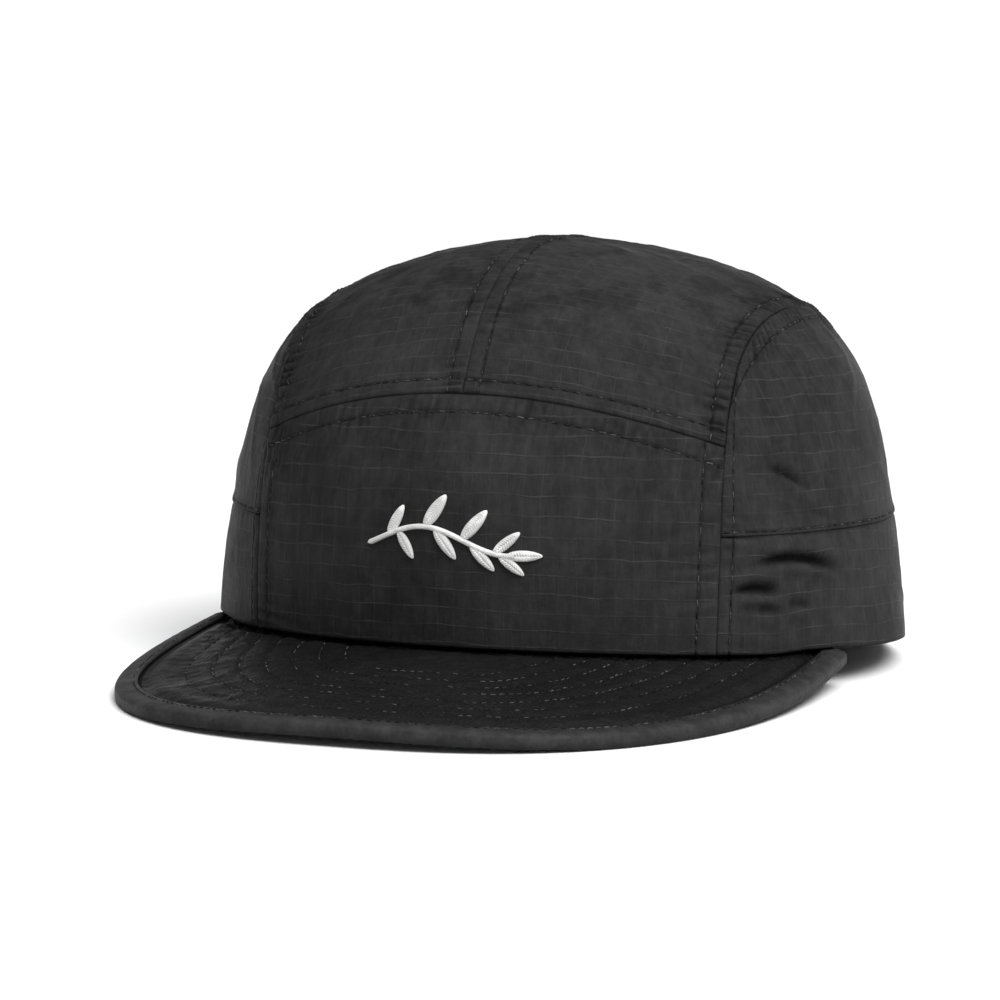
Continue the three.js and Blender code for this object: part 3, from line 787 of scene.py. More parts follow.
def turn_out(mesh):
    """Turns the faces of a closed skin outwards where its volume is below zero."""
    mesh.calc_loop_triangles()
    places = np.empty(len(mesh.vertices) * 3)
    corners = np.empty(len(mesh.loop_triangles) * 3, np.int32)
    mesh.vertices.foreach_get("co", places)
    mesh.loop_triangles.foreach_get("vertices", corners)
    a, b, c = places.reshape(-1, 3)[corners.reshape(-1, 3)].transpose(1, 0, 2)
    if np.einsum("ij,ij->i", a, np.cross(b, c)).sum() < 0:
        mesh.flip_normals()


def put_mesh(name, points, faces, look, slot, replaces=(), coordinates=None, painted_shade=None):
    """Makes the object in the row frame, smooth, facing outwards, with its own map of the cloth and its
    painted shade, riding on root."""
    points = np.asarray(points, float).reshape(-1, 3)
    placed = (points + [0, LENGTHWISE_SHIFT, 0]) * MM
    mesh = bpy.data.meshes.new(name)
    mesh.from_pydata(placed.tolist(), [], faces.tolist() if isinstance(faces, np.ndarray) else faces)
    turn_out(mesh)
    mesh.polygons.foreach_set("use_smooth", np.ones(len(mesh.polygons), bool))
    if coordinates is not None:
        corners = np.empty(len(mesh.loops), np.int32)
        mesh.loops.foreach_get("vertex_index", corners)
        layer = mesh.uv_layers.new(name="cloth")
        layer.uv.foreach_set("vector", (np.asarray(coordinates) * MM)[corners].astype(np.float32).ravel())
    # Painted shade: for each point, how much darker its colour is painted, standing for shade in creases,
    # seams, grooves and under edges
    if painted_shade is not None:
        layer = mesh.attributes.new("painted_shade", "FLOAT", "POINT")
        layer.data.foreach_set("value", np.asarray(painted_shade, np.float32).ravel())
    mesh.materials.append(look)
    piece = bpy.data.objects.new(name, mesh)
    bpy.context.scene.collection.objects.link(piece)
    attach(piece, "root")
    if replaces:
        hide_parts(*replaces)


def put_wall(name, outer, inner, flat, look, slot, replaces, painted_shade=None):
    """One piece from the two sides of a wall, which share their map of the cloth."""
    points, faces = shell(outer, inner)
    flat = flat.reshape(-1, 2)
    put_mesh(name, points, faces, look, slot, replaces, np.concatenate([flat, flat]), painted_shade)


def stitches(points, normals, pitch, thick, sink=0.3):
    """Rings of points for every stitch along a line: each is a short thread whose middle stands
    on the cloth and whose two ends dip into it, thinning as they go. Returns stitches, rings,
    points round the ring."""
    run = run_along(points)
    count = max(1, int(run[-1] // pitch))
    along = np.linspace(0, 1, 6)
    at = (np.arange(count)[:, None] + 0.1 + 0.8 * along[None, :]) * run[-1] / count
    middle = np.stack([np.interp(at, run, points[:, k]) for k in range(3)], axis=-1)
    normal = np.stack([np.interp(at, run, normals[:, k]) for k in range(3)], axis=-1)
    normal = normal / np.linalg.norm(normal, axis=-1, keepdims=True)
    tangent = np.gradient(middle, axis=1)
    across = np.cross(tangent, normal)
    across = across / np.linalg.norm(across, axis=-1, keepdims=True)
    bow = 1 - (2 * along - 1) ** 4
    lift = (thick * 0.35 * bow - sink * (1 - bow))[None, :, None]
    radius = (thick / 2 * (0.45 + 0.55 * bow))[None, :, None, None]
    angle = np.linspace(0, 2 * math.pi, 6, endpoint=False)
    ring = np.cos(angle)[:, None] * across[:, :, None, :] + np.sin(angle)[:, None] * normal[:, :, None, :]
    return (middle + normal * lift)[:, :, None, :] + radius * ring


def put_stitches(name, rows, look, slot):
    """One piece from the stitches of many rows."""
    rings = np.concatenate(rows)
    count, length, sides = rings.shape[:3]
    walls = grid_faces(length, sides, closed_columns=True)
    offsets = (np.arange(count) * length * sides)[:, None, None]
    quads = (walls[None] + offsets).reshape(-1, 4)
    near = (np.arange(sides)[None, ::-1] + offsets[:, 0]).tolist()
    far = (np.arange(sides)[None, :] + (length - 1) * sides + offsets[:, 0]).tolist()
    put_mesh(name, rings, [*quads.tolist(), *near, *far], look, slot)


# ---- Materials


class Wire:
    """A socket that Python arithmetic can use: every operator adds one Math node."""

    def __init__(self, look, socket):
        self.look = look
        self.socket = socket

    def math(self, operation, *others):
        values = dict(enumerate((self, *others)))
        return self.look.node("ShaderNodeMath", {"operation": operation}, values)

    def __add__(self, other):
        return self.math("ADD", other)

    __radd__ = __add__

    def __sub__(self, other):
        return self.math("SUBTRACT", other)

    def __mul__(self, other):
        return self.math("MULTIPLY", other)

    __rmul__ = __mul__

    def __truediv__(self, other):
        return self.math("DIVIDE", other)


class Look:
    """The node tree of one material, or of the world."""

    def __init__(self, name, owners=None):
        self.material = (bpy.data.materials if owners is None else owners).new(name)
        self.material.use_nodes = True
        self.material.node_tree.nodes.clear()

    def node(self, kind, settings=None, values=None, output=0):
        """Adds a node, gives it its settings and then its sockets' values or links, and returns
        one of its outputs."""
        made = self.material.node_tree.nodes.new(kind)
        for key, value in (settings or {}).items():
            setattr(made, key, value)
        for key, value in (values or {}).items():
            if isinstance(value, Wire):
                self.material.node_tree.links.new(value.socket, made.inputs[key])
            else:
                made.inputs[key].default_value = value
        return Wire(self, made.outputs[output]) if made.outputs else None

    def cloth_map(self):
        """The two ways along the cloth, in metres."""
        place = self.node("ShaderNodeUVMap", {"uv_map": "cloth"})
        return [self.node("ShaderNodeSeparateXYZ", {}, {0: place}, output) for output in (0, 1)]

    def noise(self, scale, detail=2.0, roughness=0.5, stretch=None):
        """Noise from 0 to 1 on the object's own place, stretched if asked."""
        place = self.node("ShaderNodeTexCoord", {}, {}, "Object")
        if stretch:
            place = self.node("ShaderNodeMapping", {}, {"Vector": place, "Scale": stretch})
        values = {"Vector": place, "Scale": scale, "Detail": detail, "Roughness": roughness}
        return self.node("ShaderNodeTexNoise", {}, values)

    def span(self, value, low, high, start=0.0, end=1.0):
        """A smooth change from start to end as the value goes from low to high."""
        values = {"Value": value, "From Min": low, "From Max": high, "To Min": start, "To Max": end}
        return self.node("ShaderNodeMapRange", {"interpolation_type": "SMOOTHSTEP"}, values)

    def blend(self, share, first, second):
        """A colour between two colours."""
        values = {0: share, 6: first, 7: second}
        return self.node("ShaderNodeMix", {"data_type": "RGBA"}, values, 2)

    def mottled(self, colour, dark, light, scale, detail=2.0, roughness=0.5, span=(0.3, 0.7)):
        """The colour, wandering with noise between a darker and a lighter share of itself."""
        tone = self.span(self.noise(scale, detail, roughness), *span)
        return self.blend(tone, shade(colour, dark), shade(colour, light))

    def gloss(self, scale, detail, smooth, rough):
        """A roughness that wanders with noise between two values."""
        return self.span(self.noise(scale, detail), 0.3, 0.7, smooth, rough)

    def shade_painted_on(self, plain, colour):
        """The plain colour with painted shade: darker where the mesh's painted shade attribute is high."""
        painted_shade = self.node("ShaderNodeAttribute", {"attribute_name": "painted_shade"}, {}, "Fac")
        return self.blend(painted_shade * 0.85, plain, shade(colour, 0.12))

    def lines(self, way, pitch, width):
        """1 on evenly spaced lines and 0 between them."""
        off = ((way / pitch).math("FRACT") - 0.5).math("ABSOLUTE") * pitch
        return self.span(off, width * 0.4, width, 1.0, 0.0)

    def finish(self, colour, roughness, height=None, depth=0.0002, **constants):
        """The surface itself: what varies goes to colour, roughness and the bump; the rest is set."""
        values = {"Base Color": colour, "Roughness": roughness}
        if height is not None:
            values["Normal"] = self.node(
                "ShaderNodeBump", {}, {"Height": height, "Distance": depth, "Strength": 1.0}
            )
        values.update({key.replace("_", " "): value for key, value in constants.items()})
        surface = self.node("ShaderNodeBsdfPrincipled", {}, values)
        self.node("ShaderNodeOutputMaterial", {}, {"Surface": surface})
        return self.material


def shade(colour, factor):
    """A colour made lighter or darker, with its opacity."""
    return (*(min(1.0, part * factor) for part in colour), 1.0)


def ripstop_look(name, colour, check, lines=1.0, gloss=0.42, gleam=0.01, grain=0.0002):
    """Dark ripstop nylon: a check of thicker threads, painted lighter as a painted sheen where they catch the
    light, fine yarn, a mottled tone that is partly the cloth's own and partly a painted sheen of its
    crumples, a wandering gloss, and painted shade in the seams, stitches, pleats and under the hem. lines
    sets the strength of the threads' painted sheen."""
    look = Look(name)
    u, v = look.cloth_map()
    wander = look.noise(90, 3) * 0.002
    level = look.lines(v + wander, check, 0.00026)
    upright = look.lines(u + wander, check, 0.0002)
    broken = look.span(look.noise(130, 3), 0.4, 0.64)
    threads = (level * 0.85).math("MAXIMUM", upright * 0.4) * (broken * 0.8 + 0.2)
    yarn = look.lines(u + wander * 2, 0.0013, 0.0006) * look.span(look.noise(260, 2), 0.45, 0.6)
    crinkle = look.noise(420, 5, 0.7)
    broad = look.span(look.noise(24, 6, 0.68), 0.34, 0.68)
    small = look.span(look.noise(170, 5, 0.75), 0.34, 0.7)
    streak = look.span(look.noise(560, 4, 0.65, (1, 1, 0.16)), 0.38, 0.66)
    # Partly the cloth's own random tone, partly a painted sheen: light and dark patches standing for crumpled
    # cloth catching the light
    tone = broad * 0.42 + small * 0.33 + streak * 0.25
    plain = look.blend(tone, shade(colour, 0.6), shade(colour, 1.45))
    # Painted sheen: the check's threads painted up to three times lighter
    with_painted_sheen = look.blend(threads * (0.34 * lines), plain, shade(colour, 3.2))
    # Painted shade in seams, stitches, pleats and under the hem
    shaded_colour = look.shade_painted_on(with_painted_sheen, colour)
    roughness = look.span(look.noise(38, 3, 0.6), 0.3, 0.7, gloss - 0.08, gloss + 0.08)
    height = threads * 0.6 + yarn * 0.12 + crinkle * 1.1
    return look.finish(shaded_colour, roughness, height, grain, Specular_IOR_Level=gleam)


def tape_look(name, colour):
    """Smooth woven tape: a fine grain, a soft change of tone, and painted shade on its lower half and along
    the middle of its top.
    """
    look = Look(name)
    plain = look.mottled(colour, 0.75, 1.3, 210, 5, 0.75, (0.34, 0.68))
    height = look.noise(1500, 2) * 0.3 + look.noise(350, 4, 0.7) * 0.9
    roughness = look.gloss(120, 2, 0.42, 0.55)
    return look.finish(look.shade_painted_on(plain, colour), roughness, height, 0.0003, Specular_IOR_Level=0.03)


def twill_look(name, colour):
    """Matt cotton twill: slanting ribs, painted lighter as a painted sheen."""
    look = Look(name)
    u, v = look.cloth_map()
    ribs = look.lines(u + v, 0.0012, 0.0005)
    # Painted sheen: the ribs painted lighter
    with_painted_sheen = look.blend(ribs * 0.35, look.mottled(colour, 0.8, 1.3, 140, 3), shade(colour, 2.2))
    height = ribs + look.noise(700, 2) * 0.5
    return look.finish(with_painted_sheen, look.gloss(200, 2, 0.75, 0.9), height, 0.0002, Sheen_Weight=0.2)


def webbing_look(name, colour):
    """Woven webbing: cross ribs broken into cells by lengthwise lines, the cells painted lighter as a painted
    sheen.
    """
    look = Look(name)
    u, v = look.cloth_map()
    cells = look.lines(u, 0.0016, 0.0007) * (0.4 + look.lines(v, 0.0022, 0.0009) * 0.6)
    # Painted sheen: the cells painted lighter
    with_painted_sheen = look.blend(cells * 0.5, look.mottled(colour, 0.8, 1.25, 120, 3), shade(colour, 2.4))
    height = cells + look.noise(600, 2) * 0.3
    return look.finish(with_painted_sheen, look.gloss(200, 2, 0.6, 0.78), height, 0.0003, Sheen_Weight=0.15)


def plastic_look(name, colour):
    """Satin moulded plastic with a fine grain."""
    look = Look(name)
    plain = look.mottled(colour, 0.9, 1.2, 900, 3)
    return look.finish(plain, look.gloss(80, 2, 0.34, 0.46), look.noise(900, 3), 0.00003)


def thread_look(name, colour, gloss, tone_and_painted_glint=1.12, gleam=0.3):
    """Twisted thread: fine uneven tone and gloss; a large lighter share paints some stitches much lighter
    than the rest, as painted glints.
    """
    look = Look(name)
    # Up to the lighter share: a small random tone at a low share, painted glints at a high one
    plain = look.mottled(colour, 0.88, tone_and_painted_glint, 300, 4, 0.6, (0.45, 0.66))
    roughness = look.gloss(900, 2, gloss - 0.06, gloss + 0.1)
    return look.finish(plain, roughness, look.noise(2600, 2), 0.00004, Specular_IOR_Level=gleam)


def floor_look(name, colour):
    """A plain pale studio floor."""
    look = Look(name)
    tone = look.blend(look.noise(3, 2), shade(colour, 0.995), shade(colour, 1.005))
    return look.finish(tone, look.gloss(2, 1, 0.85, 0.9), Specular_IOR_Level=0.1)


# ---- Parts of the pieces


def hem_point(turn):
    """The hem's line on the crown."""
    return crown_point(turn, rise_where(turn, hem_height))


def peak_rows(sewing):
    """Distances of the peak's stitched rows from its edge."""
    return sewing.first_peak_row / MM + np.arange(sewing.peak_rows) * sewing.peak_row_step / MM


def peak_relief(x, y, sewing):
    """Height of the peak's cloth over the plate: a groove at the binding with a roll inside it, a shallow
    channel at each row, soft creases and a dip under the hem. Also the distance from the edge, and the
    painted shade: in the groove at the binding, along the rows, and strongest under the hem where the crown
    meets the peak."""
    edge = peak_outline(np.linspace(0, math.pi, 700))
    parts = np.array_split(np.stack([x, y], axis=-1).reshape(-1, 2), 60)
    away = [np.sqrt(((part[:, None, :] - edge[None]) ** 2).sum(-1).min(1)) for part in parts]
    away = np.concatenate(away).reshape(x.shape)
    points = np.stack([x, y, 0 * x], axis=-1)
    roll, roll_width, roll_height = PEAK_ROLL
    groove, groove_width, groove_depth = PEAK_GROOVE
    height = roll_height * hump(away - roll, roll_width) - groove_depth * hump(away - groove, groove_width)
    # Painted shade in the groove at the binding
    painted_shade = 0.7 * hump(away - 6.8, 0.9)
    for row in peak_rows(sewing):
        height = height - PEAK_ROW_GROOVE * hump(away - row, 0.55) + 0.1 * hump(away - row - 3, 1.6)
        # Painted shade along each row
        painted_shade = painted_shade + 0.4 * hump(away - row, 0.5)
    slack = 0.24 * creases(points, 20, 71) + 0.14 * creases(points, 7, 75)
    height = height + slack * ease(away, 7, 14) + 0.05 * random_waves(points, 4, 73)
    crown = outside(np.stack([x, y, peak_top(x, y)], axis=-1))
    height = height - 0.8 * hump(crown - 0.4, 1.5)
    # Painted shade under the hem, added to the groove's and rows'
    return height, away, np.clip(painted_shade + 0.95 * (1 - ease(crown, 0.6, 2.6)), 0, 1)


def peak_surface(angle, share, side, sewing):
    """The peak's upper (side 1) or lower (-1) side: from its root under the hem straight out to
    the grip of the binding, at each angle round the outline, half a wall from the plate's middle."""
    start = solve(lambda t: hem_point(t)[..., 1] - PEAK_END_Y, math.radians(-60), 0, np.array(0.0))
    end = np.abs(np.cos(angle)) ** 6
    hem = hem_point(mix(float(start), -math.pi - float(start), angle / math.pi))
    tuck = CLOTH_WALL + SEAT_GAP + BAND_WALL + PEAK_END_TUCK * end
    root = hem - crown_normal(hem) * tuck[..., None]
    grip = peak_inset(angle, np.full(np.shape(angle), BINDING_WALL + SEAT_GAP))
    place = mix(root[..., None, :2], grip[..., None, :], share[None, :, None])
    x, y = place[..., 0], place[..., 1]
    height, away, painted_shade = peak_relief(x, y, sewing)
    past_grip = ease(away, BINDING_WIDTH + 0.2, BINDING_WIDTH + 1.2)
    half = mix(PLATE_EDGE / 2, PLATE_WALL / 2 + height, past_grip)
    return np.stack([x, y, peak_top(x, y) - PLATE_WALL / 2 + side * half], axis=-1), painted_shade


def binding_section():
    """A closed outline for the folded tape: inset from the edge and lift from the plate's middle.
    Outside it is a rounded oblong, and inside a slot that the plate's edge stands in."""
    angle = np.linspace(0, math.pi, BINDING_SIDES)
    inset = BINDING_WIDTH * (1 - np.sin(angle) ** 0.32)
    outer = np.stack([inset, EDGE_HALF * rounded(np.cos(angle), 0.5)], axis=-1)
    slot = PLATE_EDGE / 2 + SEAT_GAP / 2
    inward = (BINDING_WIDTH, BINDING_WIDTH / 2, BINDING_WALL)
    inner = [(way, -slot) for way in inward] + [(way, slot) for way in inward[::-1]]
    return np.concatenate([outer, inner])


def binding_points(angle, section):
    """Carries the section round the peak's edge, with small puckers in the tape."""
    inset, lift = section[None, :, 0], section[None, :, 1]
    place = peak_inset(angle[:, None], inset + 0 * angle[:, None])
    run = angle[:, None] * 110
    outer = np.hypot(inset - BINDING_WIDTH / 2, lift) > 1.2
    ripple = 0.03 * puckers(run, 0 * run, 9, 5) * outer * np.sign(lift)
    z = peak_top(place[..., 0], place[..., 1]) - PLATE_WALL / 2 + lift + ripple
    return np.concatenate([place, z[..., None]], axis=-1)


def back_angle(x):
    """Half the turn that a half width takes at the back."""
    return math.asin(x / CROWN_BACK)


def band_wall(turns, low, high, tall, wall, folded):
    """The two sides of a band that lies inside the crown between two heights, its edges rounded,
    and the flat band's own map."""
    share = graded(tall, 0.4, 1.6, 2)[None, :]
    bottom, top = rise_where(turns, low, folded), rise_where(turns, high, folded)
    points = crown_point(turns[:, None], mix(bottom[:, None], top[:, None], share), folded)
    normals = crown_normal(points, folded)
    edge = wall * 0.45
    short = np.clip(1 - np.minimum(share, 1 - share) * tall / edge, 0, 1)
    rounding = edge * (1 - np.sqrt(1 - short * short))[..., None]
    depth = CLOTH_WALL + SEAT_GAP
    flat = np.stack(np.broadcast_arrays(run_along(points[:, 0])[:, None], share * tall), axis=-1)
    return points - normals * (depth + rounding), points - normals * (depth + wall - rounding), flat


def put_slider(look):
    """The slider: a rounded oblong section carried round a rounded oblong path about the strap."""
    turn = np.array(math.pi / 2 - back_angle(BUCKLE_PLACE))
    ends = []
    for height in (STRAP_LIFT, STRAP_LIFT + STRAP_HEIGHT):
        point = crown_point(turn, rise_where(turn, level_at(height)))
        ends.append(point - crown_normal(point) * (CLOTH_WALL + SEAT_GAP + STRAP_WALL / 2))
    low, high = ends
    tall = np.linalg.norm(high - low)
    up = (high - low) / tall
    rise = angles_of(low)[1]
    across = crown_point(turn + 0.02, rise) - crown_point(turn - 0.02, rise)
    out = np.cross(up, across / np.linalg.norm(across))
    out = out / np.linalg.norm(out)
    side = np.cross(out, up)
    around = np.linspace(0, 2 * math.pi, SLIDER_STEPS[0], endpoint=False)[:, None]
    about = np.linspace(0, 2 * math.pi, SLIDER_STEPS[1], endpoint=False)[None, :]
    wall = mix(BUCKLE_WALL, BUCKLE_RIM, np.abs(np.sin(around)) ** 8) / 2 * rounded(np.cos(about), 0.4)
    half_thick = STRAP_WALL / 2 + STRAP_CLEARANCE + BUCKLE_WALL / 2
    half_tall = tall / 2 + STRAP_CLEARANCE + BUCKLE_RIM / 2
    outwards, upwards = (
        rounded(wave, 0.22) * half + wall * rounded(wave, 0.4)
        for wave, half in ((np.cos(around), half_thick), (np.sin(around), half_tall))
    )
    spread = rounded(np.sin(about), 0.4) * BUCKLE_LENGTH / 2
    points = (low + high) / 2 + outwards[..., None] * out + upwards[..., None] * up + spread[..., None] * side
    faces = grid_faces(*SLIDER_STEPS, closed_rows=True, closed_columns=True)
    put_mesh("strap_slider", points, faces, look, "buckle_plastic", ["strap_buckle"])


def front_place(x, z, height):
    """The point in front of the crown's face at x and z, raised along the normal."""

    def at(y):
        return np.stack([x, y, z], axis=-1)

    foot = at(solve(lambda y: -outside(at(y)), -140, -20, x))
    return foot + crown_normal(foot) * height[..., None]


def stem_point(share):
    """The stem's gentle wave."""
    rise = SPRIG_HEIGHT * 0.16 * np.sin(math.pi * 2 * (share - 0.1))
    return np.stack([SPRIG_WIDTH * (share - 0.5), rise], axis=-1)


def satin_strip(middle, half_width, raised, slant, twist):
    """A closed strip of satin stitch along a line in the flat: across it a low dome over a flat
    foot, with fine slanting threads, lower along the middle where the stitches of a leaf meet."""
    tangent = np.gradient(middle, axis=0)
    tangent = tangent / np.linalg.norm(tangent, axis=1, keepdims=True)
    across = np.stack([-tangent[:, 1], tangent[:, 0]], axis=-1)
    over = np.linspace(-1, 1, 19)[None, :]
    run = run_along(middle)[:, None]
    dome = raised * (1 - np.abs(over) ** 2.6) ** 0.5
    threads = 0.08 * np.sin(2 * math.pi * (run / 0.6 + slant * np.abs(over)))
    vein = 0.22 * raised * twist * hump(over, 0.13)
    top = dome + (threads - vein) * (1 - over**6)
    foot = np.linspace(1, -1, 7)[1:-1]
    shares = np.concatenate([over[0], foot])
    lift = np.concatenate([top, np.full((len(run), len(foot)), -0.35)], axis=1)
    flat = middle[:, None, :] + across[:, None, :] * (half_width[:, None] * shares[None, :])[..., None]
    scale = np.clip(half_width / half_width.max() * 1.6, 0.15, 1)[:, None]
    return front_place(flat[..., 0], SPRIG_MIDDLE + flat[..., 1], SEAT_GAP + lift * scale)


# ---- Studio


def put_floor(look):
    """The studio's level floor, a disc in rings."""
    angle = np.linspace(0, 2 * math.pi, 96, endpoint=False)
    radius = np.array(FLOOR_RINGS)[:, None]
    rings = np.stack(np.broadcast_arrays(radius * np.cos(angle), radius * np.sin(angle), 0 * radius), axis=-1)
    faces = grid_faces(*rings.shape[:2], closed_columns=True).tolist() + [list(range(len(angle)))]
    mesh = bpy.data.meshes.new("studio_floor")
    mesh.from_pydata(rings.reshape(-1, 3).tolist(), [], faces)
    mesh.materials.append(look)
    floor = bpy.data.objects.new("studio_floor", mesh)
    bpy.context.scene.collection.objects.link(floor)


def pale_walls(strength):
    """The world: pale all round at the horizon and above, darker high up on the wearer's right."""
    sky = Look("studio", bpy.data.worlds)
    direction = sky.node("ShaderNodeTexCoord", {}, {}, "Generated")
    height = sky.node("ShaderNodeSeparateXYZ", {}, {0: direction}, 2)
    sideways = sky.node("ShaderNodeSeparateXYZ", {}, {0: direction}, 0)
    upper = sky.span(sideways, -0.7, -0.46, strength * 0.1, strength * 0.33)
    power = sky.span(height, 0.09, 0.18, strength, upper)
    walls = sky.node("ShaderNodeBackground", {}, {"Color": (1, 1, 1, 1), "Strength": power})
    sky.node("ShaderNodeOutputWorld", {}, {"Surface": walls})
    return sky.material


def put_lamps(light):
    """A broad soft light from above and a square lamp at the wearer's left, aimed at the crown."""
    ceiling = bpy.data.lights.new("ceiling", "SUN")
    ceiling.energy, ceiling.angle = light.ceiling, math.radians(55)
    window = bpy.data.lights.new("window", "AREA")
    window.size, window.energy = 0.6, light.window
    for lamp, place in ((ceiling, CEILING_PLACE), (window, WINDOW_PLACE)):
        body = bpy.data.objects.new(lamp.name, lamp)
        body.location = place
        body.rotation_mode = "QUATERNION"
        body.rotation_quaternion = (Vector((0, 0, 0.05)) - Vector(place)).to_track_quat("-Z", "Y")
        bpy.context.scene.collection.objects.link(body)


def put_camera():
    """Sets the camera where the photograph was taken from, with its roll and focal length."""
    turn, rise, roll = (math.radians(angle) for angle in (VIEW_TURN, VIEW_RISE, VIEW_ROLL))
    back = Vector((math.sin(turn) * math.cos(rise), -math.cos(turn) * math.cos(rise), math.sin(rise)))
    right = Vector((math.cos(turn), math.sin(turn), 0))
    up = back.cross(right)
    right, up = (
        math.cos(roll) * right + math.sin(roll) * up,
        math.cos(roll) * up - math.sin(roll) * right,
    )
    target = Vector(VIEW_TARGET) + Vector((0, LENGTHWISE_SHIFT, 0))
    camera = bpy.data.cameras.new("camera")
    camera.sensor_width = SENSOR_WIDTH
    camera.lens = VIEW_FOCUS * SENSOR_WIDTH / PHOTO_WIDTH
    body = bpy.data.objects.new("camera", camera)
    turned = Matrix((right, up, back)).transposed().to_4x4()
    body.matrix_world = Matrix.Translation((target + back * VIEW_DISTANCE) * MM) @ turned
    bpy.context.scene.collection.objects.link(body)
    bpy.context.scene.camera = body


# ---- Operators, panel and registration


class CAP_OT_crown_cloth(bpy.types.Operator):
    """Make the seven pieces of the crown's cloth"""

    bl_idname = "cap.crown_cloth"
    bl_label = "Crown cloth"

    def execute(self, context):
        cloth = context.scene.cap_cloth
        look = ripstop_look("nylon_ripstop", cloth.nylon, cloth.check)
        for name, patch in crown_patches().items():
            u = graded(float(patch.widths.max()), *CLOTH_STEPS)[:, None]
            v = graded(float(patch.heights.max()), *CLOTH_STEPS)[None, :]
            outer, painted_shade = patch.surface(u, v, cloth)
            inner, _ = patch.surface(u, v, cloth, inside=True)
            width, height = patch.spans(u, v)
            flat = np.stack(np.broadcast_arrays((u - 0.5) * width, v * height), axis=-1)
            # The inner side gets an even painted shade over all of it
            painted_shade = np.stack([painted_shade, np.full(painted_shade.shape, 0.5)])
            put_wall(f"{name}_sewn", outer, inner, flat, look, "nylon_ripstop", [name], painted_shade)
        return {"FINISHED"}


class CAP_OT_peak_plate(bpy.types.Operator):
    """Make the stiff peak with its cloth on both sides"""

    bl_idname = "cap.peak_plate"
    bl_label = "Peak"

    def execute(self, context):
        sewing, cloth = context.scene.cap_sewing, context.scene.cap_cloth
        angle = np.linspace(0, math.pi, 301)
        share = 1 - graded(*PEAK_STEPS)[::-1]
        upper, upper_painted_shade = peak_surface(angle, share, 1, sewing)
        lower, lower_painted_shade = peak_surface(angle, share, -1, sewing)
        # Painted shade on both sides of the peak
        painted_shade = np.stack([upper_painted_shade, lower_painted_shade])
        look = ripstop_look("peak_cloth", cloth.peak, cloth.check, 0.6, 0.42, 0.1, 0.0006)
        put_wall("peak_covered", upper, lower, upper[..., :2], look, "peak_cloth", ["peak"], painted_shade)
        return {"FINISHED"}


class CAP_OT_peak_binding(bpy.types.Operator):
    """Make the tape folded round the peak's edge"""

    bl_idname = "cap.peak_binding"
    bl_label = "Peak binding"

    def execute(self, context):
        section = binding_section()
        rings = binding_points(np.linspace(0, math.pi, 361), section)
        run = run_along(rings[:, BINDING_SIDES // 2])[:, None]
        flat = np.stack(np.broadcast_arrays(run, np.arange(len(section))[None, :] * 0.5), axis=-1)
        inset, lift = section[:, 0], section[:, 1]
        # Painted shade: darker over the tape's lower half and in a band along the middle of its top
        painted_shade = 0.55 * ease(-lift, -0.9, 1.2) + 0.25 * hump(inset - 2.6, 1.3) * (lift > 0)
        painted_shade = np.broadcast_to(painted_shade, rings.shape[:2])
        look = tape_look("binding_tape", context.scene.cap_cloth.binding)
        points, faces = tube(rings)
        put_mesh(
            "peak_binding_rolled", points, faces, look, "binding_tape", ["peak_binding"],
            flat.reshape(-1, 2), painted_shade,
        )
        return {"FINISHED"}


class CAP_OT_sweatband(bpy.types.Operator):
    """Make the band inside the hem"""

    bl_idname = "cap.sweatband"
    bl_label = "Sweatband"

    def execute(self, context):
        half = back_angle(OPENING_HALF_WIDTH + STRAP_TUCK + 1)
        turns = np.linspace(math.pi / 2 + half, math.pi * 2.5 - half, 321)
        sides = band_wall(
            turns, hem_height, lambda x, y: hem_height(x, y) + BAND_HEIGHT, BAND_HEIGHT, BAND_WALL, False
        )
        look = twill_look("band_cotton", context.scene.cap_cloth.band)
        put_wall("sweatband_sewn", *sides, look, "band_cotton", ["sweatband"])
        return {"FINISHED"}


class CAP_OT_back_closure(bpy.types.Operator):
    """Make the strap across the back opening and its slider"""

    bl_idname = "cap.back_closure"
    bl_label = "Back closure"

    def execute(self, context):
        cloth = context.scene.cap_cloth
        half = back_angle(OPENING_HALF_WIDTH + STRAP_TUCK)
        turns = np.linspace(math.pi / 2 - half, math.pi / 2 + half, 161)
        low, high = level_at(STRAP_LIFT), level_at(STRAP_LIFT + STRAP_HEIGHT)
        sides = band_wall(turns, low, high, STRAP_HEIGHT, STRAP_WALL, True)
        look = webbing_look("webbing", cloth.webbing)
        put_wall("back_strap_woven", *sides, look, "webbing", ["back_strap"])
        put_slider(plastic_look("buckle_plastic", cloth.plastic))
        return {"FINISHED"}


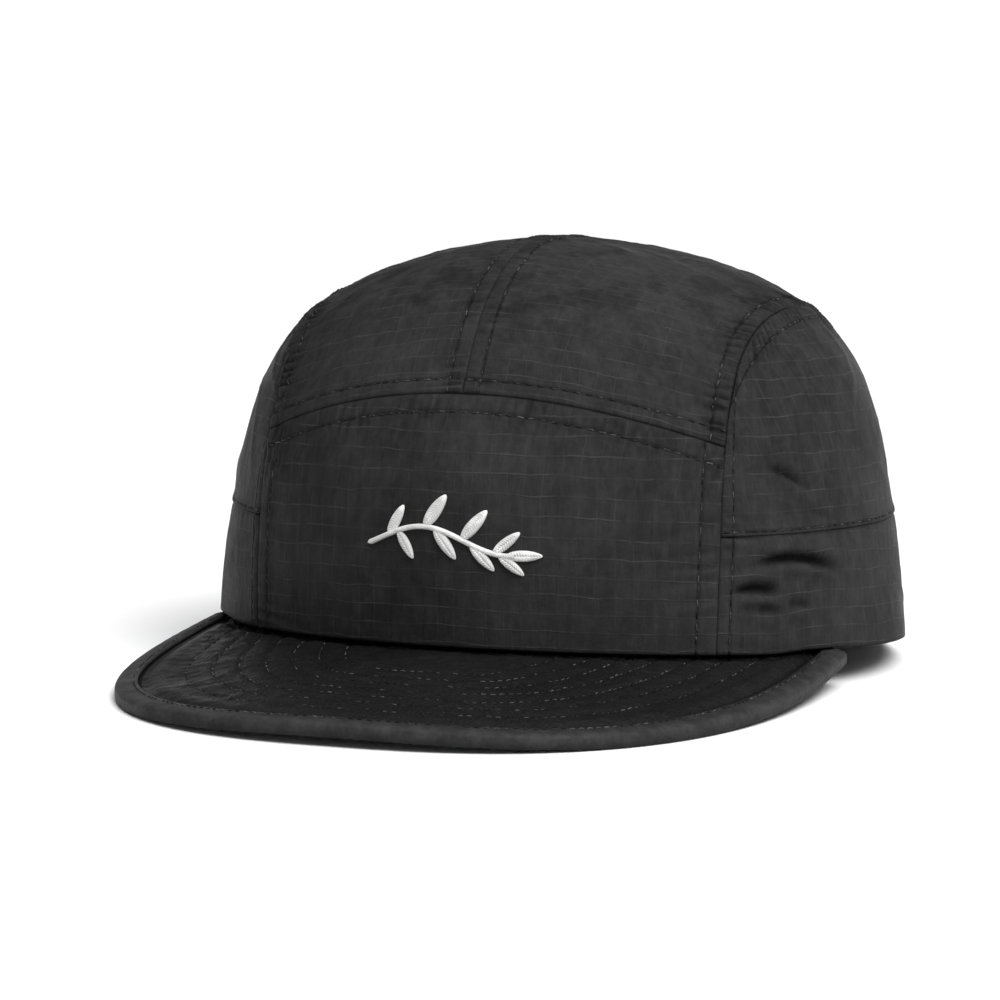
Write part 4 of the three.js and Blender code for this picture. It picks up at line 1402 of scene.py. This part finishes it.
class CAP_OT_sprig(bpy.types.Operator):
    """Make the embroidered sprig: nine leaves and the stem"""

    bl_idname = "cap.sprig"
    bl_label = "Sprig"

    def execute(self, context):
        strips = []
        share = np.linspace(0, 1, 64)
        for along, lean, length, width in LEAVES:
            reach = length * SPRIG_WIDTH
            heading = np.array([math.cos(math.radians(lean)), math.sin(math.radians(lean))])
            middle = stem_point(np.array(along)) + heading * (share * reach)[:, None]
            half = reach * width / 2 * (4 * share * (1 - share)) ** 0.62 * (1.06 - 0.25 * share) + 0.06
            strips.append(satin_strip(middle, half, SPRIG_RAISE * 0.75, 1.1, 1.0))
        share = np.linspace(0.01, 0.88, 190)
        half = SPRIG_STEM / 2 * np.clip(np.minimum(share, 0.9 - share) * 40, 0.25, 1)
        strips.append(satin_strip(stem_point(share), half, SPRIG_RAISE * 0.85, 0.7, 0.0))
        points, faces = [], []
        for strip in strips:
            places, walls = tube(strip)
            first = sum(len(part) for part in points)
            faces += [[corner + first for corner in wall] for wall in walls]
            points.append(places)
        points = np.concatenate(points)
        look = thread_look("white_thread", context.scene.cap_cloth.sprig, 0.4)
        put_mesh("embroidered_sprig", points, faces, look, "white_thread", ["embroidered_motif"])
        return {"FINISHED"}


class CAP_OT_seam_stitches(bpy.types.Operator):
    """Make the stitches of every row on the crown"""

    bl_idname = "cap.seam_stitches"
    bl_label = "Seam stitches"

    def execute(self, context):
        sewing, cloth = context.scene.cap_sewing, context.scene.cap_cloth
        pitch, thick = sewing.stitch / MM, sewing.thread / MM
        rows = []
        for patch in crown_patches().values():
            for side, finish in patch.borders.items():
                if finish.row:
                    points, _ = patch.surface(*patch.row(side, finish.row), cloth)
                    rows.append(stitches(points, crown_normal(points), pitch, thick))
        # Painted glints: some stitches painted up to eight times lighter
        look = thread_look("sewing_thread", cloth.thread, 0.5, 8.0, 0.08)
        put_stitches("crown_stitches", rows, look, "nylon_ripstop")
        return {"FINISHED"}


class CAP_OT_peak_stitches(bpy.types.Operator):
    """Make the stitches of the rows on the peak's upper and lower side, and of the binding"""

    bl_idname = "cap.peak_stitches"
    bl_label = "Peak stitches"

    def execute(self, context):
        sewing, cloth = context.scene.cap_sewing, context.scene.cap_cloth
        pitch, thick = sewing.peak_stitch / MM, sewing.thread / MM * 0.9
        rows = []
        angle = np.linspace(0.02, math.pi - 0.02, 900)
        for inset in [BINDING_WIDTH - 0.9, *peak_rows(sewing)]:
            place = peak_inset(angle, np.full(angle.shape, inset))
            x, y = place[:, 0], place[:, 1]
            top = peak_top(x, y)
            keep = outside(np.stack([x, y, top], axis=-1)) > 1.2
            if inset < BINDING_WIDTH:
                height = np.full(x.shape, EDGE_HALF - PLATE_WALL / 2 - 0.05)
            else:
                height = peak_relief(x, y, sewing)[0]
            for sign in (1, -1):
                z = top - PLATE_WALL / 2 + sign * (PLATE_WALL / 2 + height)
                points = np.stack([x, y, z], axis=-1)[keep]
                normals = np.zeros_like(points) + [0, 0, sign]
                rows.append(stitches(points, normals, pitch, thick, 0.25))
        # Painted glints: some stitches painted up to ten times lighter
        look = thread_look("peak_thread", cloth.peak_thread, 0.5, 10.0, 0.05)
        put_stitches("peak_stitches", rows, look, "peak_cloth")
        return {"FINISHED"}


class CAP_OT_studio(bpy.types.Operator):
    """Make the floor, the light and the camera"""

    bl_idname = "cap.studio"
    bl_label = "Studio"

    def execute(self, context):
        light = context.scene.cap_studio
        put_floor(floor_look("floor", light.floor))
        context.scene.world = pale_walls(light.sky)
        context.scene.view_settings.view_transform = "Standard"
        put_lamps(light)
        put_camera()
        return {"FINISHED"}


STEPS = (
    CAP_OT_crown_cloth,
    CAP_OT_peak_plate,
    CAP_OT_peak_binding,
    CAP_OT_sweatband,
    CAP_OT_back_closure,
    CAP_OT_sprig,
    CAP_OT_seam_stitches,
    CAP_OT_peak_stitches,
    CAP_OT_studio,
)


class CAP_PT_sidebar(bpy.types.Panel):
    """Lists the cap's settings and steps."""

    bl_idname = "CAP_PT_sidebar"
    bl_label = "Five panel cap"
    bl_space_type = "VIEW_3D"
    bl_region_type = "UI"
    bl_category = "Cap"

    def draw(self, context):
        for group in (context.scene.cap_sewing, context.scene.cap_cloth, context.scene.cap_studio):
            box = self.layout.box()
            for name in group.__annotations__:
                box.prop(group, name)
        for step in STEPS:
            self.layout.operator(step.bl_idname)


CLASSES = (CapSewing, CapCloth, CapStudio, *STEPS, CAP_PT_sidebar)


def register():
    for kind in CLASSES:
        bpy.utils.register_class(kind)
    bpy.types.Scene.cap_sewing = PointerProperty(type=CapSewing)
    bpy.types.Scene.cap_cloth = PointerProperty(type=CapCloth)
    bpy.types.Scene.cap_studio = PointerProperty(type=CapStudio)


def unregister():
    del bpy.types.Scene.cap_sewing, bpy.types.Scene.cap_cloth, bpy.types.Scene.cap_studio
    for kind in reversed(CLASSES):
        bpy.utils.unregister_class(kind)


def main():
    register()
    for step in STEPS:
        getattr(bpy.ops.cap, step.bl_idname.split(".")[1])()


if __name__ == "__main__":
    main()
